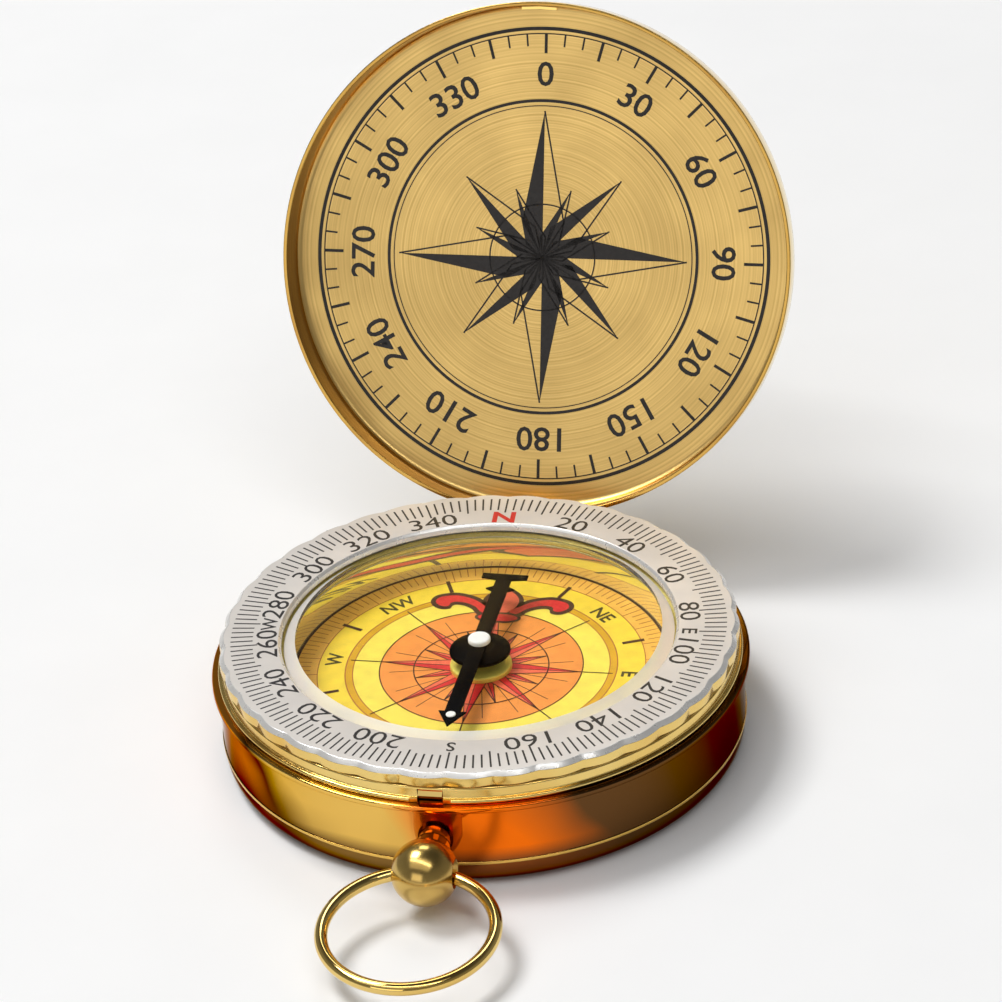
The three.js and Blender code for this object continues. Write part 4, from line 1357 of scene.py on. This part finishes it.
def domed(radius, edge, rise, steps):
    """Points of a low dome's profile, from its edge to the axis."""
    shares = [1.0 - step / steps for step in range(steps + 1)]
    return [(share * radius, edge + rise * (1.0 - share**2)) for share in shares]


def make_crystal(settings):
    """Glass with a low crown and a ground bevel, whose milky white is partly painted glare."""
    sizes = settings.dial
    low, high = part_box("crystal")
    rim_top = low.z + sizes.crystal_thickness
    shoulder = high.z - sizes.crystal_crown
    flat = sizes.crystal_clear - sizes.crystal_bevel
    over = domed(flat, shoulder, sizes.crystal_crown, steps=16)
    under = [(reach, height - sizes.crystal_thickness) for reach, height in reversed(over)]
    glass = turned(
        [
            *under,
            (sizes.crystal_clear, low.z),
            (high.x, low.z),
            (high.x, rim_top),
            (sizes.crystal_clear, rim_top),
            *over,
        ]
    )

    def on_bevel(middle, normal):
        """Whether a face is on the ground bevel."""
        inside = flat < middle.xy.length < sizes.crystal_clear and rim_top < middle.z < shoulder
        return inside and normal.z > 0.0

    paint(glass, 1, on_bevel)
    clear = crystal_glass(settings.finishes)
    ground = ground_glass(settings.finishes)
    add_piece("crystal_dome", glass, "case", "crystal_glass", clear, ground, replaced="crystal")


class COMPASS_OT_crystal(Operator):
    """Make the domed glass"""

    bl_idname = "compass.crystal"
    bl_label = "Crystal"

    def execute(self, context):
        make_crystal(context.scene.compass)
        return {"FINISHED"}


# Bezel


def scallop(ring, sizes, grip_start):
    """Draws the grip's vertices in between its lobes."""
    for vertex in ring.verts:
        radius = vertex.co.xy.length
        if radius > grip_start:
            turn = math.atan2(vertex.co.x, vertex.co.y) / FULL_TURN
            lobe = abs(math.sin(turn * sizes.scallops * math.pi))
            vertex.co.xy *= 1.0 - sizes.scallop_depth * (1.0 - lobe) / radius
    tidy(ring)


def make_bezel(settings):
    """Scalloped ring with bright cut edges and a collar with the snap wire's groove."""
    sizes = settings.bezel
    low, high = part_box("bezel_ring")
    top = high.z
    under = top - sizes.plate
    grip_under = top - sizes.rim
    wire_low, wire_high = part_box("bezel_snap_wire")
    groove_low = wire_low.z - SEAT_GAP
    groove_high = wire_high.z + SEAT_GAP
    groove = sizes.collar_radius - sizes.wire_groove
    edge = sizes.edge
    steps_per_scallop = 12
    ring = turned(
        [
            (sizes.collar_bore, low.z),
            (sizes.collar_radius, low.z),
            (sizes.collar_radius, groove_low),
            (groove, groove_low),
            (groove, groove_high),
            (sizes.collar_radius, groove_high),
            (sizes.collar_radius, grip_under),
            (sizes.crest, grip_under, edge),
            (sizes.crest, top - sizes.chamfer, edge),
            (sizes.crest - sizes.chamfer, top, edge),
            (sizes.bore + sizes.lip_bevel, top, edge),
            (sizes.bore, top - sizes.lip_bevel, edge),
            (sizes.bore, under),
            (sizes.collar_bore, under),
        ],
        sizes.scallops * steps_per_scallop,
    )
    grip_start = sizes.crest - sizes.chamfer - 2.0 * SEAT_GAP
    scallop(ring, sizes, grip_start)

    def outside(middle, _):
        """Whether a face is on the grip."""
        return middle.xy.length > grip_start - sizes.scallop_depth

    def on_lip(middle, _):
        """Whether a face is on the bevel of the lip."""
        return middle.xy.length < sizes.bore + sizes.lip_bevel and middle.z > under + edge

    def on_wall(middle, normal):
        """Whether a face is on the grip below its chamfer."""
        return outside(middle, normal) and middle.z < top - sizes.chamfer

    bright, wall = 1, 2
    paint(ring, bright, outside)
    paint(ring, bright, on_lip)
    paint(ring, wall, on_wall)
    spun_by(ring, sizes.turn)
    silver = satin_silver(settings.finishes)
    cut = bright_silver(settings.finishes)
    dulled = brass(settings, "dulled_brass")
    add_piece("bezel_grip", ring, "bezel", "satin_silver", silver, cut, dulled, replaced="bezel_ring")


class COMPASS_OT_bezel(Operator):
    """Make the scalloped bezel"""

    bl_idname = "compass.bezel"
    bl_label = "Bezel"

    def execute(self, context):
        make_bezel(context.scene.compass)
        return {"FINISHED"}


def print_bezel(settings):
    """Degree scale with its numbers and letters, and north in red."""
    sizes = settings.bezel
    finishes = settings.finishes
    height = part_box("bezel_ring")[1].z + FILM
    scale = bmesh.new()
    north = bmesh.new()
    for bearing in range(0, 360, 2):
        start = sizes.tick_long if bearing % 10 == 0 else sizes.tick_short
        add_mark(scale, bearing, start, sizes.tick_outer, sizes.tick_width, height)
    letters = {90: "E", 180: "S", 270: "W"}
    for bearing in sorted({*range(20, 360, 20), *letters}):
        place = at_bearing(bearing, sizes.number_radius, height)
        if bearing in letters:
            add_text(scale, letters[bearing], sizes.letter_size, place, weight=0.012)
        else:
            add_text(scale, str(bearing), sizes.number_size, place, stretch=1.18)
    place = at_bearing(0.0, sizes.number_radius, height)
    add_text(north, "N", sizes.number_size, place, stretch=1.2, weight=0.03)
    spun_by(scale, sizes.turn)
    spun_by(north, sizes.turn)
    add_piece("bezel_numbers", scale, "bezel", "satin_silver", ink("black_ink", finishes.ink))
    add_piece("bezel_north", north, "bezel", "satin_silver", ink("red_ink", finishes.scale_red))


class COMPASS_OT_bezel_scale(Operator):
    """Print the degree scale on the bezel"""

    bl_idname = "compass.bezel_scale"
    bl_label = "Bezel scale"

    def execute(self, context):
        print_bezel(context.scene.compass)
        return {"FINISHED"}


# Needle


def make_needle_arrow(sizes, enamel):
    """Blade with its cross bar, barbs and head."""
    half = sizes.width / 2.0
    bar_half = sizes.bar_width / 2.0
    bar_foot = sizes.north - sizes.bar_length
    barb_top = sizes.north - sizes.barb_back
    head_back = sizes.head_length - sizes.south
    right = [
        (half, head_back),
        (half, barb_top - sizes.barb_length),
        (sizes.barb_width / 2.0, barb_top - sizes.barb_length / 2.0),
        (half, barb_top),
        (half, bar_foot),
        (bar_half, bar_foot + sizes.bar_rake),
        (bar_half, sizes.north),
    ]
    left = [(-x, y) for x, y in reversed(right)]
    head_half = sizes.head_width / 2.0
    head = [(-head_half, head_back), (0.0, -sizes.south), (head_half, head_back)]
    low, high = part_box("needle_blade")
    blade = bmesh.new()
    add_slab(blade, [*right, *left, *head], low.z, high.z)
    rims = [edge for edge in blade.edges if abs(edge.verts[0].co.z - edge.verts[1].co.z) < MERGE_DISTANCE]
    bevel(blade, rims, sizes.bevel)
    spun_by(blade, sizes.turn)
    add_piece("needle_arrow", blade, "needle", "black_enamel", enamel, replaced="needle_blade")


def make_needle_boss(sizes, enamel):
    """Hub on the blade."""
    low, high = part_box("needle_hub")
    hub = turned(
        [
            (sizes.hub_bore, low.z),
            (high.x, low.z, FINE_EDGE),
            (high.x, low.z + sizes.hub_rim, SOFT_EDGE),
            (sizes.hub_top, high.z, TRIM_EDGE),
            (sizes.hub_bore, high.z),
        ],
        SMALL_STEPS,
    )
    add_piece("needle_boss", hub, "needle", "black_enamel", enamel, replaced="needle_hub")


def make_needle_button(sizes, lume):
    """White cap with its bearing bored from below."""
    low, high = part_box("needle_cap")
    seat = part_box("needle_blade")[1].z + SEAT_GAP
    top = high.z - sizes.cap_drop
    bore_end = high.z - sizes.cap_roof
    cap = turned(
        [
            (0.0, bore_end),
            (sizes.cap_bore, bore_end - SEAT_GAP),
            (sizes.cap_bore, low.z),
            (sizes.cap_stem, low.z),
            (sizes.cap_stem, seat),
            (high.x, seat, sizes.cap_foot_edge),
            (high.x, top, sizes.cap_edge),
            (0.0, top),
        ],
        SMALL_STEPS,
    )
    add_piece("needle_button", cap, "needle", "white_lume", lume, replaced="needle_cap")


def make_needle_spot(lume):
    """White dot on the head."""
    low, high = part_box("needle_lume_dot")
    radius = (high.y - low.y) / 2.0
    dot = turned(
        [(0.0, low.z), (radius, low.z), (radius, high.z, THIN_EDGE), (0.0, high.z)], SMALL_STEPS
    )
    placed(dot, Matrix.Translation(((low + high) / 2.0).xy.to_3d()))
    add_piece("needle_spot", dot, "needle", "white_lume", lume, replaced="needle_lume_dot")


class COMPASS_OT_needle(Operator):
    """Make the needle with its hub, cap and dot"""

    bl_idname = "compass.needle"
    bl_label = "Needle"

    def execute(self, context):
        sizes = context.scene.compass.needle
        finishes = context.scene.compass.finishes
        enamel = matt_stuff(
            "black_enamel", finishes.enamel, gloss=(0.42, 0.55), scale=1800.0, depth=0.004 * MM
        )
        shade(enamel.node_tree, {"Specular IOR Level": 0.02})
        lume = matt_stuff(
            "white_lume", finishes.lume, gloss=(0.35, 0.5), scale=2500.0, depth=0.004 * MM, share=0.93
        )
        make_needle_arrow(sizes, enamel)
        make_needle_boss(sizes, enamel)
        make_needle_button(sizes, lume)
        make_needle_spot(lume)
        return {"FINISHED"}


# Lid


def make_lid(settings):
    """Shell of the lid, turned inside and polished outside, with painted shade on its lip and inner wall.
    """
    sizes = settings.lid
    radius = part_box("case_body")[1].x
    crown = sizes.face + sizes.crown
    dome = domed(radius - sizes.edge, crown, sizes.dome, steps=8)[1:]
    shell = turned(
        [
            (0.0, sizes.face),
            (sizes.bore, sizes.face, sizes.inner_edge),
            (sizes.bore, sizes.rim, THIN_EDGE),
            (radius, sizes.rim, THIN_EDGE),
            (radius, crown, sizes.edge),
            *dome,
        ]
    )
    shell = carved(shell, hinge_room(settings.case))
    steepest = -0.3

    def inside(middle, _):
        """Whether a face is on the inner face, the inner wall or the rim."""
        return middle.z < sizes.face + THIN_EDGE and middle.xy.length < radius - THIN_EDGE / 2.0

    def on_face(middle, normal):
        """Whether a face is on the inner face."""
        below = middle.z < sizes.face + THIN_EDGE and normal.z < steepest
        return below and middle.xy.length < sizes.bore - THIN_EDGE

    # The lip and inner wall take the darker brass as painted shade
    face, lip = 1, 2
    paint(shell, lip, inside)
    paint(shell, face, on_face)
    placed(shell, OPENED)
    outer = brass(settings, "lacquered_brass")
    faced = turned_brass(settings.finishes, sizes.face)
    dull = brass(settings, "lip_brass")
    add_piece("lid_cover", shell, "lid", "brushed_brass", outer, faced, dull, replaced="lid_shell")


class COMPASS_OT_lid(Operator):
    """Make the lid, turned inside and polished outside"""

    bl_idname = "compass.lid"
    bl_label = "Lid"

    def execute(self, context):
        make_lid(context.scene.compass)
        return {"FINISHED"}


def engrave_ring(dark, sizes):
    """Degree ring with plain numbers."""
    long_tick = (1.9 * MM, 0.3 * MM)  # length and width
    short_tick = (1.2 * MM, 0.18 * MM)
    ring_line = 0.35 * MM
    thin_line = 0.12 * MM
    tick_end = sizes.scale_radius - sizes.inset
    add_circle(dark, sizes.scale_radius, ring_line, 0.0)
    add_circle(dark, tick_end, thin_line, 0.0)
    for bearing in range(0, 360, 5):
        reach, width = long_tick if bearing % 15 == 0 else short_tick
        add_mark(dark, bearing, tick_end - reach, tick_end, width, 0.0)
    for bearing in range(0, 360, 30):
        place = at_bearing(bearing, sizes.number_radius, 0.0)
        add_text(dark, str(bearing), sizes.number_size, place, stretch=1.05, weight=0.012)


def engrave_rose(dark, sizes):
    """Rose with one filled half and one outlined half to each point."""
    shares = (1.0, 0.5, 0.76, 0.5)  # of the reach, of four points in turn
    half_share = 0.145
    waist_share = 0.24
    ring_line = 0.3 * MM
    thin_line = 0.1 * MM
    heart_line = 0.14 * MM
    outline = 0.16 * MM
    add_circle(dark, sizes.rose_ring, ring_line, 0.0)
    add_circle(dark, sizes.rose_ring - sizes.inset, thin_line, 0.0)
    for wind in range(WINDS):
        place = wind_turn(wind)
        reach = sizes.rose_reach * shares[wind % 4]
        left, right = star_halves(reach, waist_share * reach, half_share * reach)
        middle, side, tip = right
        add_polygon(dark, left, 0.0, place)
        add_line(dark, side, tip, outline, 0.0, place)
        add_line(dark, middle, side, outline, 0.0, place)
    add_circle(dark, sizes.rose_heart, heart_line, 0.0)


class COMPASS_OT_lid_engraving(Operator):
    """Engrave a plain degree ring and a rose inside the lid"""

    bl_idname = "compass.lid_engraving"
    bl_label = "Lid engraving"

    def execute(self, context):
        settings = context.scene.compass
        sizes = settings.lid
        dark = bmesh.new()
        engrave_ring(dark, sizes)
        engrave_rose(dark, sizes)
        placed(dark, Matrix.Rotation(math.pi, 4, "X"))
        placed(dark, Matrix.Translation((0.0, 0.0, sizes.face - FILM)))
        placed(dark, OPENED)
        fill = ink("engraving_fill", settings.finishes.engraving)
        add_piece("lid_engraving", dark, "lid", "brushed_brass", fill)
        return {"FINISHED"}


# Button and bow


def ball_profile(sizes):
    """Profile of the ball about the bow's hole, which opens with the bow's curve."""
    ball_steps = 40
    hole_steps = 8
    rounds = 20  # enough for the mouth's place to settle

    def hole_radius(along):
        """Radius of the hole at a distance from its middle."""
        drop = sizes.bow_radius - math.sqrt(sizes.bow_radius**2 - along**2)
        return sizes.bow_wire + RUN_GAP + drop

    mouth = sizes.radius
    for _ in range(rounds):
        mouth = math.sqrt(sizes.radius**2 - hole_radius(mouth) ** 2)
    mouth_angle = math.asin(mouth / sizes.radius)
    profile = []
    for step in range(ball_steps + 1):
        lean = mouth_angle * (2.0 * step / ball_steps - 1.0)
        edge = THIN_EDGE if step in (0, ball_steps) else 0.0
        profile.append((sizes.radius * math.cos(lean), sizes.radius * math.sin(lean), edge))
    for step in range(1, hole_steps):
        along = mouth * (1.0 - 2.0 * step / hole_steps)
        profile.append((hole_radius(along), along))
    return profile


def make_ball(settings):
    """Ball with the bow's hole, a counterbore for the sleeve and a socket for the stem."""
    sizes = settings.button
    ball = turned(ball_profile(sizes), 2 * SMALL_STEPS)
    placed(ball, Matrix.Translation(BALL_MIDDLE) @ ALONG_X)
    room = sizes.sleeve + RUN_GAP
    counterbore = sizes.sleeve_end + BUTTON_TRAVEL + RUN_GAP
    cutter = turned(
        [
            (0.0, sizes.sleeve_start),
            (room, sizes.sleeve_start),
            (room, counterbore),
            (sizes.socket, counterbore),
            (sizes.socket, sizes.socket_end),
            (0.0, sizes.socket_end),
        ],
        SMALL_STEPS,
    )
    ball = carved(ball, placed(cutter, ALONG_STEM))
    dull = brass(settings, "worn_brass")
    add_piece("button_knob", ball, "button", "polished_brass", dull, replaced="button_ball")


def make_sleeve(settings):
    """Sleeve that the button runs in."""
    sizes = settings.button
    sleeve = turned(
        [
            (sizes.sleeve_bore, sizes.sleeve_start),
            (sizes.sleeve, sizes.sleeve_start),
            (sizes.sleeve, sizes.sleeve_end, ROUND_EDGE),
            (sizes.sleeve_bore, sizes.sleeve_end, FINE_EDGE),
        ],
        SMALL_STEPS,
    )
    placed(sleeve, ALONG_STEM)
    plain = brass(settings, "lacquered_brass")
    add_piece("button_collar", sleeve, "case", "polished_brass", plain, replaced="button_sleeve")


def make_bow(settings):
    """Ring of round wire that hangs in the ball's hole."""
    sizes = settings.button
    wire_steps = 32
    across = Matrix.Translation((sizes.bow_radius, 0.0, 0.0)) @ Matrix.Rotation(RIGHT_ANGLE, 4, "X")
    bow = bmesh.new()
    bmesh.ops.create_circle(bow, segments=wire_steps, radius=sizes.bow_wire, matrix=across)
    spin(bow)
    hung = Matrix.Translation(BALL_MIDDLE) @ Matrix.Rotation(sizes.bow_tilt, 4, "X")
    placed(bow, hung @ Matrix.Translation((0.0, -sizes.bow_radius, 0.0)))
    plain = brass(settings, "lacquered_brass")
    add_piece("bow_loop", bow, "bow", "polished_brass", plain, replaced="bow_ring")


class COMPASS_OT_button(Operator):
    """Make the ball, its sleeve and the bow"""

    bl_idname = "compass.button"
    bl_label = "Button and bow"

    def execute(self, context):
        make_ball(context.scene.compass)
        make_sleeve(context.scene.compass)
        make_bow(context.scene.compass)
        return {"FINISHED"}


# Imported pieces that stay, by their finish
STEEL_PIECES = (
    "dial_plate",
    "pivot_pin",
    "hinge_pin",
    "catch_spring",
    "catch_spring_screw",
    "bezel_snap_wire",
    "button_stem",
    "stem_clip",
)
BRASS_PIECES = ("lid_catch_lip", "catch_hook")


def dress(material, *names):
    """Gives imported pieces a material."""
    for name in names:
        frame["nodes"][name].data.materials[0] = material


class COMPASS_OT_inner_pieces(Operator):
    """Give the pieces inside the case their finishes"""

    bl_idname = "compass.inner_pieces"
    bl_label = "Inner pieces"

    def execute(self, context):
        settings = context.scene.compass
        finishes = settings.finishes
        rubber = matt_stuff("rubber", finishes.rubber, gloss=(0.6, 0.75), scale=4000.0, depth=0.01 * MM)
        plastic = matt_stuff(
            "white_plastic", finishes.plastic, gloss=(0.4, 0.55), scale=1500.0, depth=0.01 * MM, share=0.95
        )
        dress(drawn_steel(finishes), *STEEL_PIECES)
        dress(brass(settings, "lacquered_brass"), *BRASS_PIECES)
        dress(rubber, "crystal_gasket")
        dress(plastic, "spacer_ring")
        return {"FINISHED"}


# Stage

# Lamps by name: direction, distance, width and depth, in metres
LAMPS = {
    "key": ((-0.42, 0.14, 0.90), 1.8, 0.6, 0.6),
    "back": ((-0.10, 0.60, 0.80), 1.8, 0.6, 0.4),
    "top": ((-0.10, -0.45, 0.89), 1.6, 2.2, 1.1),
    "strip": ((-0.10, -0.34, 0.94), 1.55, 2.2, 0.1),
    "fill": ((-0.25, -0.90, 0.27), 2.0, 1.2, 0.8),
}
SKY = ((0.0, 0.28), (0.40, 0.22), (0.75, 0.08), (1.0, 0.06))  # height and grey


def lay_floor(sizes):
    """Wide pale floor."""
    floor = bmesh.new()
    bmesh.ops.create_circle(floor, cap_ends=True, segments=SMALL_STEPS, radius=sizes.floor_radius)
    ground = new_object("floor", floor)
    paper = matt_stuff("floor_paper", sizes.floor, gloss=(0.85, 0.95), scale=60.0, depth=0.0, share=0.98)
    ground.data.materials.append(paper)


def add_lamp(name, brightness, direction, distance, width, depth):
    """Soft lamp that faces the compass. Brightness is that of its face."""
    lamp = bpy.data.lights.new(name, "AREA")
    lamp.shape = "RECTANGLE"
    lamp.size = width
    lamp.size_y = depth
    lamp.energy = brightness * math.pi * width * depth
    made = bpy.data.objects.new(name, lamp)
    outward = Vector(direction).normalized()
    made.location = outward * distance
    made.rotation_euler = outward.to_track_quat("Z", "Y").to_euler()
    made.visible_transmission = False  # the dial already gets this light through the crystal
    bpy.context.scene.collection.objects.link(made)


def hang_sky(scene):
    """Grey surroundings that darken upwards."""
    scene.world = bpy.data.worlds.new("studio")
    scene.world.use_nodes = True
    tree = scene.world.node_tree
    place = add_node(tree, "TexCoord", {}).outputs["Generated"]
    tones = [(height, (grey, grey, grey)) for height, grey in SKY]
    sky = add_ramp(tree, add_parts(tree, place)["Z"], tones)
    feed(tree, tree.nodes["Background"].inputs, {"Color": sky})


def stand_camera(scene, sizes):
    """Camera of the main view."""
    camera = bpy.data.cameras.new("camera")
    camera.lens = sizes.camera_lens
    made = bpy.data.objects.new("camera", camera)
    turn = Matrix.Rotation(sizes.camera_azimuth, 4, "Z")
    lean = Matrix.Rotation(RIGHT_ANGLE - sizes.camera_elevation, 4, "X")
    roll = Matrix.Rotation(sizes.camera_roll, 4, "Z")
    made.matrix_world = Matrix.Translation(sizes.camera_place) @ turn @ lean @ roll
    scene.collection.objects.link(made)
    scene.camera = made


class COMPASS_OT_stage(Operator):
    """Set up the floor, the lamps, the world and the camera"""

    bl_idname = "compass.stage"
    bl_label = "Stage"

    def execute(self, context):
        scene = context.scene
        sizes = scene.compass.stage
        scene.view_settings.view_transform = "Standard"
        lay_floor(sizes)
        for name, placing in LAMPS.items():
            add_lamp(f"{name}_lamp", getattr(sizes, name), *placing)
        hang_sky(scene)
        stand_camera(scene, sizes)
        return {"FINISHED"}


class COMPASS_PT_panel(Panel):
    """Compass pieces in the sidebar"""

    bl_idname = "COMPASS_PT_panel"
    bl_label = "Compass"
    bl_space_type = "VIEW_3D"
    bl_region_type = "UI"
    bl_category = "Compass"

    def draw(self, context):
        for operator in OPERATORS:
            self.layout.operator(operator.bl_idname)


GROUPS = (CaseSizes, BezelSizes, DialSizes, NeedleSizes, LidSizes, ButtonSizes, Finishes, StageSizes)
OPERATORS = (
    COMPASS_OT_case,
    COMPASS_OT_hinge,
    COMPASS_OT_dial,
    COMPASS_OT_dial_artwork,
    COMPASS_OT_crystal,
    COMPASS_OT_bezel,
    COMPASS_OT_bezel_scale,
    COMPASS_OT_needle,
    COMPASS_OT_lid,
    COMPASS_OT_lid_engraving,
    COMPASS_OT_button,
    COMPASS_OT_inner_pieces,
    COMPASS_OT_stage,
)
CLASSES = (*GROUPS, CompassSettings, *OPERATORS, COMPASS_PT_panel)


def register():
    """Register the classes and the settings."""
    for kind in CLASSES:
        bpy.utils.register_class(kind)
    bpy.types.Scene.compass = PointerProperty(type=CompassSettings)


def unregister():
    """Take the settings and the classes away again."""
    del bpy.types.Scene.compass
    for kind in reversed(CLASSES):
        bpy.utils.unregister_class(kind)


def main():
    """Make every piece and the stage."""
    register()
    bpy.ops.compass.stage()
    bpy.ops.compass.case()
    bpy.ops.compass.hinge()
    bpy.ops.compass.dial()
    bpy.ops.compass.dial_artwork()
    bpy.ops.compass.crystal()
    bpy.ops.compass.bezel()
    bpy.ops.compass.bezel_scale()
    bpy.ops.compass.needle()
    bpy.ops.compass.lid()
    bpy.ops.compass.lid_engraving()
    bpy.ops.compass.button()
    bpy.ops.compass.inner_pieces()
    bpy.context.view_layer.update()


if __name__ == "__main__":
    main()
